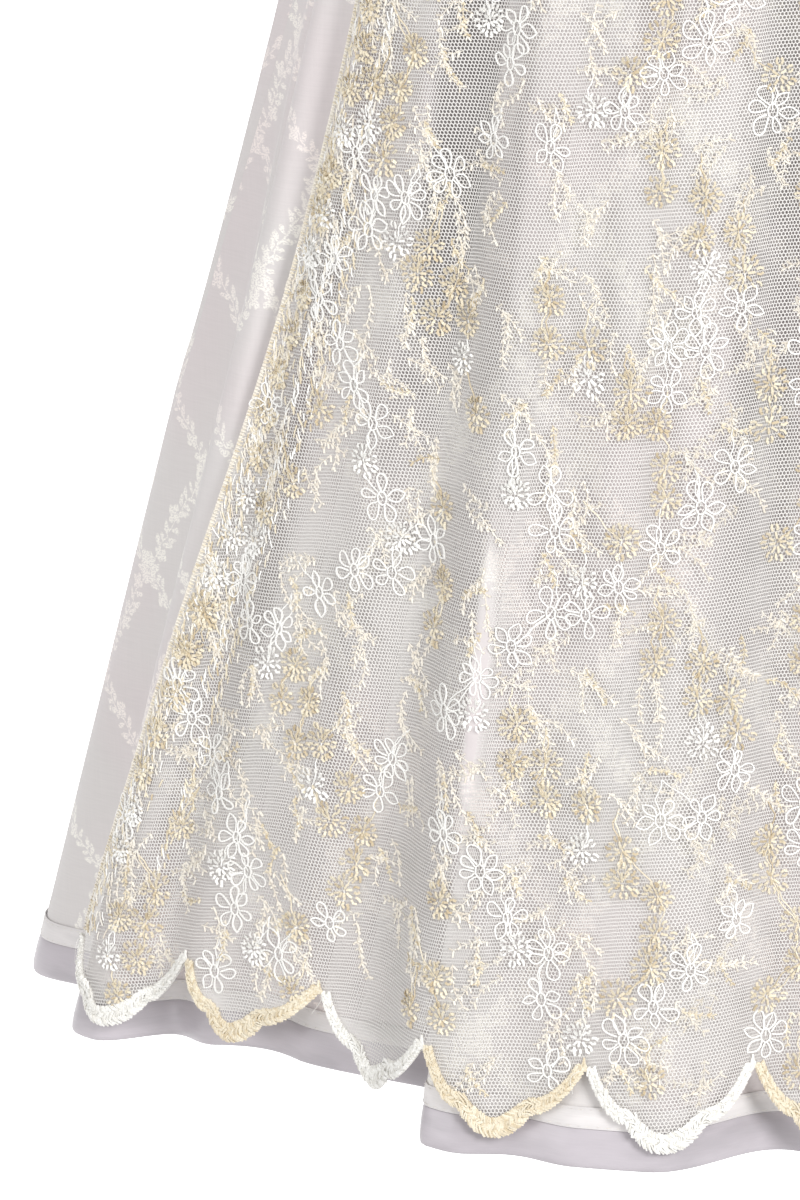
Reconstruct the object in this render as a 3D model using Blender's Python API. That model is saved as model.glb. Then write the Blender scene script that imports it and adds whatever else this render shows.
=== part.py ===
"""Girls' dirndl dress, worn form, built piece by piece as it is cut and sewn.

The front faces -Y and Z is up. The origin lies between the undersides of the two shoulder
straps, where the wearer's shoulders hold the dress. Angles round the dress are in degrees from
the centre front, and grow towards -X, the wearer's right. Lengths are in metres.
"""
import math
from collections import namedtuple

import bmesh
import bpy
from mathutils import Vector

# Driving sizes
SHOULDER_TO_WAIST = 0.300
SKIRT_DROP = 0.560
WAIST_HALF_WIDTH = 0.106
WAIST_HALF_DEPTH = 0.088
HEM_HALF_WIDTH = 0.267
HEM_HALF_DEPTH = 0.212
CHEST_HALF_WIDTH = 0.118
CHEST_HALF_DEPTH = 0.095
CHEST_HEIGHT = 0.165
SHOULDER_HALF_WIDTH = 0.124

# Cloth walls, seam gaps and layers
SKIRT_WALL = 0.0012
BODICE_WALL = 0.0016
BAND_WALL = 0.0012
LACE_WALL = 0.0010
SEAM_GAP = 0.0003
LAYER_GAP = 0.0004

# Trims at the hem, measured up from its lower edge
HEM_BAND_WIDTH = 0.0135
HEM_BAND_PROUD = 0.0002
RIBBON_WIDTH = 0.0075
RIBBON_WALL = 0.0010

# How the skirt swells under its gathered seam
BELL_SHARE = 0.14
BELL_DROP = 0.028

# Gathers at the waist seam
FRONT_GATHERS = 15
BACK_GATHERS = 23
GATHER_SHARE = 0.15
GATHER_OPENS_IN = 0.012
GATHER_FADES_IN = 0.055

# Apron
APRON_HEM_ANGLE = 69.0
APRON_WAIST_SHARE = 0.69
APRON_DROP = 0.553
SCALLOPS = 10
SCALLOP_DEPTH = 0.028
SCALLOP_CURVE = 0.75
SCALLOP_BORDER = 0.007
BORDER_WALL = 0.0014
BORDER_OVERHANG = 0.0008
APRON_LAST_ROW = 0.0168
APRON_KEEPS_FOLD = 0.55
APRON_KEEPS_LEAN = 0.12
APRON_GAP_AT_WAIST = 0.0009
APRON_GAP_AT_HEM = 0.0026
WAISTBAND_HEIGHT = 0.026
WAISTBAND_LIFT = 0.0005
TIE_SEAM_ANGLE = 0.2
TIE_END_ANGLE = 176.5

# Bodice: angles and heights in shares of the yoke, which runs from the chest to the shoulder
STRAP_INNER_ANGLE = 31.0
STRAP_OUTER_ANGLE = 60.0
ARMHOLE_SCOOP = 5.0
UNDERARM_YOKE = 0.25
NECK_CURVE = 3.2
SHOULDER_SLOPE = 0.34
FRONT_NECK_YOKE = 0.22
BACK_NECK_YOKE = 0.55
BODY_ROWS = (0.050, 0.105)
FRONT_YOKE_ROWS = (0.04, 0.10, 0.16, FRONT_NECK_YOKE, 0.245, 0.30, 0.40, 0.55, 0.70, 0.85, 1.0)
BACK_YOKE_ROWS = (0.05, 0.12, 0.24, 0.40, BACK_NECK_YOKE, 0.58, 0.66, 0.77, 0.88, 1.0)
PANEL_COLUMNS = 8
SEAM_ANGLE = 0.10

# Bow at the centre back
KNOT_WIDTH = 0.022
KNOT_DEPTH = 0.014
KNOT_HEIGHT = 0.028
BOW_LOOP_LENGTH = 0.068
BOW_LOOP_OPENS = 0.008
BOW_LOOP_SAG = 0.22
BOW_LOOP_SIDES = 20
BOW_HEIGHT = 0.026
BOW_PINCH = 0.72
TAIL_DROP = 0.300
TAIL_WIDTH = 0.026
TAIL_STANDS_OFF = 0.0065
TAIL_FROM_CENTRE = 0.011
TAIL_SPREAD = 0.16
TAIL_PINCH = 0.66
TAIL_WIDENS_IN = 0.05
TAIL_SLANT = 0.012

# Closure at the centre front
PLACKET_HALF_ANGLE = 4.6
BUTTONS = 5
BUTTON_RADIUS = 0.0055
BUTTON_HEIGHT = 0.0036
BUTTON_INSET = 0.014

# How finely the cloth is divided
COLUMN_STEP = 0.0155
TURN_WEIGHT = 0.012
MIN_COLUMNS_PER_SCALLOP = 6
SKIRT_ROWS = (0.012, 0.050, 0.140, 0.260, 0.375, 0.470)

Fold = namedtuple("Fold", "at half_width depth lean start rise")

# The folds of the skirt at its hem, front first and then round by the wearer's right.
#         at: angle of the valley; half_width: in degrees; depth and lean: in mm, where the lean
#         carries the valley's floor towards smaller angles; start: share of the skirt's drop at
#         which the fold begins; rise: in mm, how far the fold lifts the hem
FOLDS = (
    Fold(at=-3.0, half_width=10.0, depth=25.0, lean=0.0, start=0.00, rise=0.0),
    Fold(at=17.5, half_width=5.0, depth=5.0, lean=0.0, start=0.00, rise=0.0),
    Fold(at=33.0, half_width=8.7, depth=22.0, lean=42.0, start=0.00, rise=0.0),
    Fold(at=44.0, half_width=23.0, depth=33.0, lean=0.0, start=0.30, rise=9.0),
    Fold(at=57.0, half_width=6.0, depth=12.0, lean=-5.0, start=0.00, rise=0.0),
    Fold(at=75.0, half_width=9.5, depth=19.0, lean=4.0, start=0.05, rise=3.0),
    Fold(at=96.0, half_width=10.5, depth=25.0, lean=-6.0, start=0.02, rise=0.0),
    Fold(at=114.0, half_width=8.0, depth=17.0, lean=3.0, start=0.08, rise=2.0),
    Fold(at=131.0, half_width=9.5, depth=28.0, lean=9.0, start=0.00, rise=4.0),
    Fold(at=148.0, half_width=8.0, depth=18.0, lean=-4.0, start=0.06, rise=0.0),
    Fold(at=163.0, half_width=7.5, depth=14.0, lean=0.0, start=0.12, rise=0.0),
    Fold(at=179.0, half_width=9.0, depth=25.0, lean=6.0, start=0.00, rise=3.0),
    Fold(at=195.0, half_width=8.0, depth=17.0, lean=-3.0, start=0.10, rise=0.0),
    Fold(at=212.0, half_width=9.5, depth=27.0, lean=-10.0, start=0.00, rise=4.0),
    Fold(at=229.0, half_width=8.0, depth=16.0, lean=3.0, start=0.08, rise=0.0),
    Fold(at=246.0, half_width=9.5, depth=26.0, lean=8.0, start=0.03, rise=2.0),
    Fold(at=263.0, half_width=8.5, depth=18.0, lean=-4.0, start=0.05, rise=0.0),
    Fold(at=280.0, half_width=9.0, depth=23.0, lean=0.0, start=0.04, rise=3.0),
    Fold(at=296.0, half_width=8.0, depth=17.0, lean=5.0, start=0.00, rise=0.0),
    Fold(at=312.5, half_width=9.5, depth=29.0, lean=-12.0, start=0.00, rise=4.0),
    Fold(at=328.0, half_width=7.0, depth=13.0, lean=0.0, start=0.06, rise=0.0),
    Fold(at=341.5, half_width=7.0, depth=15.0, lean=3.0, start=0.00, rise=0.0),
)
FOLD_GROWTH = 0.75

WAIST_Z = -SHOULDER_TO_WAIST


def clear_scene():
    for item in list(bpy.data.objects):
        bpy.data.objects.remove(item, do_unlink=True)


def fabric(name, colour, roughness, metallic=0.0):
    """A plain Principled material."""
    material = bpy.data.materials.new(name)
    material.use_nodes = True
    shader = material.node_tree.nodes["Principled BSDF"]
    shader.inputs["Base Color"].default_value = (*colour, 1.0)
    shader.inputs["Roughness"].default_value = roughness
    shader.inputs["Metallic"].default_value = metallic
    return material


def spread(start, end, count):
    return [start + (end - start) * i / count for i in range(count + 1)]


# Shape of the skirt

def swell(x):
    """A smooth hump: 1 at x = 0, falling to 0 at x = -1 and x = 1."""
    return 0.5 * (1.0 + math.cos(math.pi * x)) if abs(x) < 1.0 else 0.0


def flare(drop):
    """Share of the way from the waist's size to the hem's."""
    bell = 1.0 - math.exp(-drop / BELL_DROP)
    return BELL_SHARE * bell + (1.0 - BELL_SHARE) * drop / SKIRT_DROP


def fold_at(angle, drop):
    """Depth, lean and rise of the folds together at one place, in metres."""
    share = drop / SKIRT_DROP
    depth = lean = rise = 0.0
    for fold in FOLDS:
        away = (angle - fold.at + 180.0) % 360.0 - 180.0
        hump = swell(away / fold.half_width)
        if hump == 0.0 or share <= fold.start:
            continue
        grown = ((share - fold.start) / (1.0 - fold.start)) ** FOLD_GROWTH
        depth += 0.001 * fold.depth * grown * hump
        lean += 0.001 * fold.lean * grown * share * hump
        rise += 0.001 * fold.rise * share ** 3 * hump
    return depth, lean, rise


def gather_wave(angle, drop):
    """Outward swing of the small gathers under the waist seam."""
    wrapped = (angle + 180.0) % 360.0 - 180.0
    edge = apron_edge_angle(drop)
    round_waist = math.pi * (WAIST_HALF_WIDTH + WAIST_HALF_DEPTH)
    if abs(wrapped) <= edge:
        turns = FRONT_GATHERS * (wrapped + edge) / (2.0 * edge)
        pitch = round_waist * 2.0 * edge / 360.0 / FRONT_GATHERS
    else:
        rest = 360.0 - 2.0 * edge
        turns = BACK_GATHERS * ((wrapped - edge) % 360.0) / rest
        pitch = round_waist * rest / 360.0 / BACK_GATHERS
    opened = 0.4 + 0.6 * min(1.0, drop / GATHER_OPENS_IN)
    return GATHER_SHARE * pitch * opened * math.exp(-drop / GATHER_FADES_IN) * math.cos(2 * math.pi * turns)


def skirt_surface(angle, drop, keep=1.0, keep_lean=1.0):
    """The skirt's outer face. An overskirt keeps less of the folds' depth and lean."""
    size = flare(drop)
    half_width = WAIST_HALF_WIDTH + (HEM_HALF_WIDTH - WAIST_HALF_WIDTH) * size
    half_depth = WAIST_HALF_DEPTH + (HEM_HALF_DEPTH - WAIST_HALF_DEPTH) * size
    turn = math.radians(angle)
    out = Vector((-half_depth * math.sin(turn), -half_width * math.cos(turn), 0.0)).normalized()
    along = Vector((out.y, -out.x, 0.0))
    depth, lean, rise = fold_at(angle, drop)
    point = Vector((-half_width * math.sin(turn), -half_depth * math.cos(turn), WAIST_Z - drop))
    point += out * (gather_wave(angle, drop) - keep * depth)
    point -= along * (keep_lean * lean)
    point.z += rise
    return point


def moved_out(surface, angle, drop, out):
    """A point of a surface, moved out along the surface's own normal, or level at the waist seam."""
    turn, fall = 0.25, 0.0015
    low = max(0.0, drop - fall)
    across = surface(angle + turn, drop) - surface(angle - turn, drop)
    down = surface(angle, drop + fall) - surface(angle, low)
    normal = across.cross(down).normalized()
    normal.z *= min(1.0, drop / GATHER_OPENS_IN)
    return surface(angle, drop) + normal.normalized() * out


def apron_edge_angle(drop):
    """Angle of the apron's side edge, which spreads from the waist to the hem."""
    share = min(drop / SKIRT_DROP, 1.0)
    return APRON_HEM_ANGLE * (APRON_WAIST_SHARE + (1.0 - APRON_WAIST_SHARE) * share)


def angle_at(hem_angle, drop):
    """Follow a thread of the cloth up from its angle at the hem."""
    edge = apron_edge_angle(drop)
    wrapped = (hem_angle + 180.0) % 360.0 - 180.0
    if abs(wrapped) <= APRON_HEM_ANGLE:
        return wrapped * edge / APRON_HEM_ANGLE
    beyond = (abs(wrapped) - APRON_HEM_ANGLE) / (180.0 - APRON_HEM_ANGLE)
    return math.copysign(edge + beyond * (180.0 - edge), wrapped)


def apron_surface(angle, drop):
    return skirt_surface(angle, drop, APRON_KEEPS_FOLD, APRON_KEEPS_LEAN)


# How the cloth is divided into columns

def run_lengths(surface, start, end, steps, turn_weight=0.0):
    """Angles from start to end with the running length of the hem, bends weighted."""
    angles = [start + (end - start) * i / steps for i in range(steps + 1)]
    points = [surface(angle, SKIRT_DROP) for angle in angles]
    lengths = [0.0]
    for i in range(1, steps + 1):
        step = points[i] - points[i - 1]
        bend = 0.0
        if i < steps:
            bend = step.angle(points[i + 1] - points[i])
        lengths.append(lengths[-1] + step.length + turn_weight * bend)
    return angles, lengths


def share_out(angles, lengths, count):
    """Angles of count + 1 columns at equal shares of the running length."""
    columns = [angles[0]]
    i = 1
    for k in range(1, count):
        target = lengths[-1] * k / count
        while lengths[i] < target:
            i += 1
        part = (target - lengths[i - 1]) / (lengths[i] - lengths[i - 1])
        columns.append(angles[i - 1] + part * (angles[i] - angles[i - 1]))
    columns.append(angles[-1])
    return columns


def divide(start, end, least=1):
    """Columns of the skirt's cloth between two angles at the hem."""
    angles, lengths = run_lengths(skirt_surface, start, end, 240, TURN_WEIGHT)
    return share_out(angles, lengths, max(least, round(lengths[-1] / COLUMN_STEP)))


def scallop_ends():
    """Angles at the hem where one scallop ends and the next begins."""
    angles, lengths = run_lengths(apron_surface, -APRON_HEM_ANGLE, APRON_HEM_ANGLE, 1400)
    return share_out(angles, lengths, SCALLOPS)


def front_columns():
    """Hem angles under the apron, with each one's share of its scallop."""
    ends = scallop_ends()
    columns = [(ends[0], 0.0)]
    for left, right in zip(ends, ends[1:]):
        inside = divide(left, right, MIN_COLUMNS_PER_SCALLOP)
        count = len(inside) - 1
        columns += [(inside[k], k / count) for k in range(1, count + 1)]
    return columns


# Building walls

def add_object(name, mesh_maker, material):
    mesh = bpy.data.meshes.new(name)
    mesh_maker.normal_update()
    if mesh_maker.calc_volume(signed=True) < 0.0:
        bmesh.ops.reverse_faces(mesh_maker, faces=mesh_maker.faces[:])
    mesh_maker.to_mesh(mesh)
    mesh_maker.free()
    mesh.materials.append(material)
    mesh.shade_smooth()
    mesh.set_sharp_from_angle(angle=math.radians(50.0))
    item = bpy.data.objects.new(name, mesh)
    bpy.context.scene.collection.objects.link(item)
    return item


def turned_over(corner):
    """A face seen from behind, that still splits along the same diagonal."""
    return [corner[0], corner[3], corner[2], corner[1]]


def wall(name, outer, inner, material):
    """A closed wall between two grids of points, rows by columns."""
    maker = bmesh.new()
    sheets = [[[maker.verts.new(point) for point in row] for row in grid] for grid in (outer, inner)]
    rows, columns = len(outer), len(outer[0])
    for sheet, flip in zip(sheets, (False, True)):
        for r in range(rows - 1):
            for c in range(columns - 1):
                corner = [sheet[r][c], sheet[r + 1][c], sheet[r + 1][c + 1], sheet[r][c + 1]]
                maker.faces.new(turned_over(corner) if flip else corner)
    for r in range(rows - 1):
        for c in (0, columns - 1):
            end = [sheets[0][r][c], sheets[0][r + 1][c], sheets[1][r + 1][c], sheets[1][r][c]]
            maker.faces.new(end if c else turned_over(end))
    for c in range(columns - 1):
        for r in (0, rows - 1):
            end = [sheets[0][r][c], sheets[0][r][c + 1], sheets[1][r][c + 1], sheets[1][r][c]]
            maker.faces.new(turned_over(end) if r else end)
    return add_object(name, maker, material)


def ring_wall(name, outer, inner, material):
    """A closed wall whose columns run round a loop."""
    maker = bmesh.new()
    sheets = [[[maker.verts.new(point) for point in row] for row in grid] for grid in (outer, inner)]
    rows, columns = len(outer), len(outer[0])
    for c in range(columns):
        n = (c + 1) % columns
        for r in range(rows - 1):
            for sheet, flip in zip(sheets, (False, True)):
                corner = [sheet[r][c], sheet[r + 1][c], sheet[r + 1][n], sheet[r][n]]
                maker.faces.new(turned_over(corner) if flip else corner)
        for r in (0, rows - 1):
            rim = [sheets[0][r][c], sheets[0][r][n], sheets[1][r][n], sheets[1][r][c]]
            maker.faces.new(rim if r == 0 else rim[::-1])
    return add_object(name, maker, material)


def cloth_on(name, surface, columns, drops, outs, material):
    """A wall over part of a surface, from its columns, its drops and its two offsets."""
    grids = []
    for out in outs:
        grid = []
        for drop in drops:
            row = []
            for column in columns:
                place = drop(column) if callable(drop) else drop
                row.append(moved_out(surface, angle_at(column[0], place), place, out))
            grid.append(row)
        grids.append(grid)
    return wall(name, grids[0], grids[1], material)


def inset_ends(columns):
    """Draw the first and last column in, so that neighbours part at the seam."""
    inset = math.degrees(SEAM_GAP / HEM_HALF_WIDTH)
    first, last = columns[0], columns[-1]
    return [(first[0] + inset, first[1])] + columns[1:-1] + [(last[0] - inset, last[1])]


def make_skirt(cloth, satin, cream):
    front = front_columns()
    side_right = [(angle, 0.0) for angle in divide(APRON_HEM_ANGLE, 90.0)[1:]]
    side_left = [(angle, 0.0) for angle in divide(-90.0, -APRON_HEM_ANGLE)[:-1]]
    panels = {
        "front": inset_ends(side_left + front + side_right),
        "back": inset_ends([(angle, 0.0) for angle in divide(90.0, 270.0)]),
    }
    band_top = SKIRT_DROP - HEM_BAND_WIDTH
    skirt_low = band_top - SEAM_GAP / 2
    ribbon_rows = (skirt_low - RIBBON_WIDTH, skirt_low)
    rows = (SEAM_GAP / 2,) + SKIRT_ROWS + ribbon_rows
    band_rows = (band_top + SEAM_GAP / 2, SKIRT_DROP)
    for side, columns in panels.items():
        cloth_on("skirt_" + side, skirt_surface, columns, rows, (0.0, -SKIRT_WALL), cloth)
        cloth_on("hem_band_" + side, skirt_surface, columns, band_rows,
                 (HEM_BAND_PROUD, -BAND_WALL), satin)
        cloth_on("hem_ribbon_" + side, skirt_surface, columns, ribbon_rows,
                 (LAYER_GAP + RIBBON_WALL, LAYER_GAP), cream)
    return front


# Apron

def scallop_drop(column):
    """Where the apron's lower edge hangs, at one share of a scallop."""
    share = column[1]
    hang = math.sin(math.pi * share) ** SCALLOP_CURVE if 0.0 < share < 1.0 else 0.0
    return APRON_DROP - SCALLOP_DEPTH * (1.0 - hang)


def apron_layer(angle, drop):
    """The apron's inner face, which stands off more towards the hem."""
    off = APRON_GAP_AT_WAIST + (APRON_GAP_AT_HEM - APRON_GAP_AT_WAIST) * drop / SKIRT_DROP
    return moved_out(apron_surface, angle, drop, off)


def make_apron(columns, lace, border):
    last_row = APRON_DROP - SCALLOP_DEPTH - APRON_LAST_ROW

    def above_edge(column):
        return scallop_drop(column) - SCALLOP_BORDER

    def edge(column):
        return scallop_drop(column) + BORDER_OVERHANG

    rows = (SEAM_GAP / 2,) + SKIRT_ROWS + (last_row, above_edge, scallop_drop)
    cloth_on("apron_panel", apron_layer, columns, rows, (LACE_WALL, 0.0), lace)
    laid_on = LACE_WALL + LAYER_GAP
    cloth_on("apron_scallop_edge", apron_layer, columns, (above_edge, edge),
             (laid_on + BORDER_WALL, laid_on), border)


# Bodice, which the apron's band and ties go round

def bodice_surface(angle, height):
    """The bodice's outer face: a tube up to the chest, then a yoke that closes over the shoulders.

    Height is in metres up to the chest, and beyond it the share of the yoke is added.
    """
    turn = math.radians(angle)
    rise = min(height, CHEST_HEIGHT) / CHEST_HEIGHT
    half_width = WAIST_HALF_WIDTH + (CHEST_HALF_WIDTH - WAIST_HALF_WIDTH) * rise
    half_depth = WAIST_HALF_DEPTH + (CHEST_HALF_DEPTH - WAIST_HALF_DEPTH) * rise
    if height <= CHEST_HEIGHT:
        return Vector((-half_width * math.sin(turn), -half_depth * math.cos(turn), WAIST_Z + height))
    yoke = min(height - CHEST_HEIGHT, 1.0)
    half_width += (SHOULDER_HALF_WIDTH - CHEST_HALF_WIDTH) * yoke
    x = -half_width * math.sin(turn)
    lean = 0.5 * math.pi * yoke
    shoulder = shoulder_height(x) + BODICE_WALL
    chest = WAIST_Z + CHEST_HEIGHT
    y = -half_depth * math.cos(turn) * math.cos(lean)
    return Vector((x, y, chest + (shoulder - chest) * math.sin(lean)))


def shoulder_height(x):
    """Height of a strap's underside, which is 0 at the middle of the strap."""
    middle = 0.5 * (STRAP_INNER_ANGLE + STRAP_OUTER_ANGLE)
    centre = SHOULDER_HALF_WIDTH * math.sin(math.radians(middle))
    inner = SHOULDER_HALF_WIDTH * math.sin(math.radians(STRAP_INNER_ANGLE))
    return -SHOULDER_SLOPE * (max(abs(x), inner) - centre)


def armhole_angle(yoke):
    """Angle of the armhole's edge, from the side seam up to the shoulder."""
    scoop = max(0.0, 1.0 - yoke / UNDERARM_YOKE) ** 2
    curve = ARMHOLE_SCOOP * math.sin(math.pi * yoke)
    return STRAP_OUTER_ANGLE - curve + (90.0 - STRAP_OUTER_ANGLE) * scoop


def neck_angle(yoke, neck_yoke):
    """Angle of the neckline's edge, 0 up to the neckline's lowest point."""
    if yoke <= neck_yoke:
        return 0.0
    share = (yoke - neck_yoke) / (1.0 - neck_yoke)
    return STRAP_INNER_ANGLE * math.sqrt(1.0 - (1.0 - share) ** NECK_CURVE)


def bodice_normal(angle, height):
    """The way out of the bodice, by the directions across and up."""
    across = bodice_surface(angle + 0.2, height) - bodice_surface(angle - 0.2, height)
    low = max(0.0, height - 0.002)
    high = min(CHEST_HEIGHT + 1.0, height + 0.002)
    up = bodice_surface(angle, high) - bodice_surface(angle, low)
    return up.cross(across).normalized()


def bodice_point(angle, height, out):
    return bodice_surface(angle, height) + bodice_normal(angle, height) * out


def bodice_panel(side, neck_yoke, yoke_rows, back=False):
    """Outer and inner points of half a front or back. Side is 1 for the wearer's right."""
    heights = [SEAM_GAP / 2, *BODY_ROWS, CHEST_HEIGHT] + [CHEST_HEIGHT + row for row in yoke_rows]
    grids = []
    for out in (0.0, -BODICE_WALL):
        grid = []
        for height in heights:
            yoke = max(0.0, height - CHEST_HEIGHT)
            inner = neck_angle(yoke, neck_yoke)
            if not back:
                inner = max(inner, SEAM_ANGLE)
            outer = min(armhole_angle(yoke), 90.0 - SEAM_ANGLE)
            row = []
            for angle in spread(inner, outer, PANEL_COLUMNS):
                point = bodice_point(side * angle, height, out)
                if yoke >= 1.0:
                    point.y = -SEAM_GAP / 2
                if back:
                    point.y = -point.y
                row.append(point)
            grid.append(row)
        grids.append(grid)
    return grids


def make_bodice(cloth):
    for name, side in (("bodice_front_right", 1), ("bodice_front_left", -1)):
        outer, inner = bodice_panel(side, FRONT_NECK_YOKE, FRONT_YOKE_ROWS)
        wall(name, outer, inner, cloth)
    make_back([bodice_panel(side, BACK_NECK_YOKE, BACK_YOKE_ROWS, back=True) for side in (1, -1)], cloth)


def make_back(halves, cloth):
    """The back is cut in one piece, so its two halves share the column at the centre."""
    maker = bmesh.new()
    neck_row = BACK_YOKE_ROWS.index(BACK_NECK_YOKE) + len(BODY_ROWS) + 2
    for grids in halves:
        sheets = [[[maker.verts.new(point) for point in row] for row in grid] for grid in grids]
        rows, last = len(grids[0]), len(grids[0][0]) - 1
        for r in range(rows - 1):
            for c in range(last):
                for sheet in sheets:
                    maker.faces.new([sheet[r][c], sheet[r + 1][c], sheet[r + 1][c + 1], sheet[r][c + 1]])
        ends = [(r, last, r + 1, last) for r in range(rows - 1)]
        ends += [(r, 0, r + 1, 0) for r in range(neck_row, rows - 1)]
        ends += [(r, c, r, c + 1) for r in (0, rows - 1) for c in range(last)]
        for r0, c0, r1, c1 in ends:
            maker.faces.new([sheets[0][r0][c0], sheets[0][r1][c1], sheets[1][r1][c1], sheets[1][r0][c0]])
    bmesh.ops.remove_doubles(maker, verts=maker.verts[:], dist=1e-6)
    bmesh.ops.recalc_face_normals(maker, faces=maker.faces[:])
    add_object("bodice_back", maker, cloth)


def strip_on_bodice(name, angles, heights, outs, material):
    grids = [[[bodice_point(angle, height, out) for angle in angles] for height in heights] for out in outs]
    return wall(name, grids[0], grids[1], material)


def make_closure(cloth, metal):
    """A button stand down the centre front, and its buttons."""
    low = WAISTBAND_LIFT + WAISTBAND_HEIGHT + SEAM_GAP
    yoke_rows = [row for row in FRONT_YOKE_ROWS if row < FRONT_NECK_YOKE]
    heights = spread(low, CHEST_HEIGHT, 3) + [CHEST_HEIGHT + row for row in yoke_rows]
    angles = spread(-PLACKET_HALF_ANGLE, PLACKET_HALF_ANGLE, 4)
    face = LAYER_GAP + BAND_WALL
    strip_on_bodice("front_placket", angles, heights, (face, LAYER_GAP), cloth)
    for i, height in enumerate(spread(low + BUTTON_INSET, CHEST_HEIGHT, BUTTONS - 1)):
        seat = bodice_point(0.0, height, face + SEAM_GAP)
        make_button("button_%d" % (i + 1), seat, bodice_normal(0.0, height), metal)


def make_button(name, seat, way, metal):
    """A domed button, turned round its own middle."""
    profile = [(0.0, 0.0), (0.80, 0.0), (1.0, 0.22), (0.94, 0.55), (0.62, 0.90), (0.0, 1.0)]
    maker = bmesh.new()
    chain = [maker.verts.new((r * BUTTON_RADIUS, 0.0, h * BUTTON_HEIGHT)) for r, h in profile]
    edges = [maker.edges.new(pair) for pair in zip(chain, chain[1:])]
    bmesh.ops.spin(maker, geom=chain + edges, cent=(0, 0, 0), axis=(0, 0, 1),
                   angle=2 * math.pi, steps=12, use_merge=True)
    bmesh.ops.remove_doubles(maker, verts=maker.verts[:], dist=1e-6)
    bmesh.ops.recalc_face_normals(maker, faces=maker.faces[:])
    turn = way.to_track_quat("Z", "Y").to_matrix().to_4x4()
    turn.translation = seat
    bmesh.ops.transform(maker, matrix=turn, verts=maker.verts[:])
    add_object(name, maker, metal)


def make_apron_band(satin):
    """The apron's band across the front, and the two ties that go on round to the back."""
    heights = (WAISTBAND_LIFT, WAISTBAND_LIFT + WAISTBAND_HEIGHT)
    outs = (LAYER_GAP + BAND_WALL, LAYER_GAP)
    edge = apron_edge_angle(0.0)
    strip_on_bodice("apron_waistband", spread(-edge, edge, 18), heights, outs, satin)
    start = edge + TIE_SEAM_ANGLE
    strip_on_bodice("apron_tie_right", spread(start, TIE_END_ANGLE, 24), heights, outs, satin)
    strip_on_bodice("apron_tie_left", spread(-TIE_END_ANGLE, -start, 24), heights, outs, satin)


def make_bow(satin):
    """Knot, two loops and two tails at the centre back."""
    back = bodice_surface(180.0, WAISTBAND_LIFT + 0.5 * WAISTBAND_HEIGHT)
    centre = back + Vector((0.0, LAYER_GAP + BAND_WALL + SEAM_GAP + KNOT_DEPTH / 2, 0.0))
    maker = bmesh.new()
    bmesh.ops.create_cube(maker, size=1.0)
    bmesh.ops.scale(maker, vec=(KNOT_WIDTH, KNOT_DEPTH, KNOT_HEIGHT), verts=maker.verts[:])
    bmesh.ops.bevel(maker, geom=maker.edges[:], offset=KNOT_DEPTH / 3, segments=2, affect="EDGES")
    bmesh.ops.translate(maker, vec=centre, verts=maker.verts[:])
    add_object("bow_knot", maker, satin)
    for side_name, side in (("left", 1), ("right", -1)):
        make_loop("bow_loop_" + side_name, side, centre, satin)
        make_tail("bow_tail_" + side_name, side, centre.z - KNOT_HEIGHT / 2 - SEAM_GAP, satin)


def make_loop(name, side, centre, satin):
    """A flat loop of the tie, narrower and lifted at the knot, that sags towards its end."""
    start = KNOT_WIDTH / 2 + SEAM_GAP + BAND_WALL / 2
    half_length = BOW_LOOP_LENGTH / 2
    grids = []
    for out in (BAND_WALL / 2, -BAND_WALL / 2):
        grid = []
        for level in (-0.5, 0.0, 0.5):
            row = []
            for k in range(BOW_LOOP_SIDES):
                turn = 2.0 * math.pi * k / BOW_LOOP_SIDES
                reach = half_length - (half_length + out) * math.cos(turn)
                opens = (BOW_LOOP_OPENS + out) * math.sin(turn)
                width = BOW_HEIGHT * (BOW_PINCH + (1.0 - BOW_PINCH) * reach / BOW_LOOP_LENGTH)
                lift = level * width - BOW_LOOP_SAG * reach
                row.append(centre + Vector((side * (start + reach), opens, lift)))
            grid.append(row)
        grids.append(grid)
    ring_wall(name, grids[0], grids[1], satin)


def make_tail(name, side, top, satin):
    """A tail that hangs over the back of the skirt, clear of its gathers and folds."""
    grids = []
    for out in (0.0, -BAND_WALL):
        grid = []
        for fall in spread(0.0, TAIL_DROP, 9):
            size = flare(max(0.0, WAIST_Z - top + fall))
            half_width = WAIST_HALF_WIDTH + (HEM_HALF_WIDTH - WAIST_HALF_WIDTH) * size
            half_depth = WAIST_HALF_DEPTH + (HEM_HALF_DEPTH - WAIST_HALF_DEPTH) * size
            centre = TAIL_FROM_CENTRE + TAIL_SPREAD * fall
            width = TAIL_WIDTH * (TAIL_PINCH + (1.0 - TAIL_PINCH) * min(1.0, fall / TAIL_WIDENS_IN))
            slant = TAIL_SLANT if fall == TAIL_DROP else 0.0
            row = []
            for across in spread(-0.5, 0.5, 3):
                x = side * (centre + width * across)
                y = half_depth * math.sqrt(1.0 - (x / half_width) ** 2) + TAIL_STANDS_OFF + out
                row.append(Vector((x, y, top - fall + slant * across)))
            grid.append(row)
        grids.append(grid)
    wall(name, grids[0], grids[1], satin)


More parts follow.
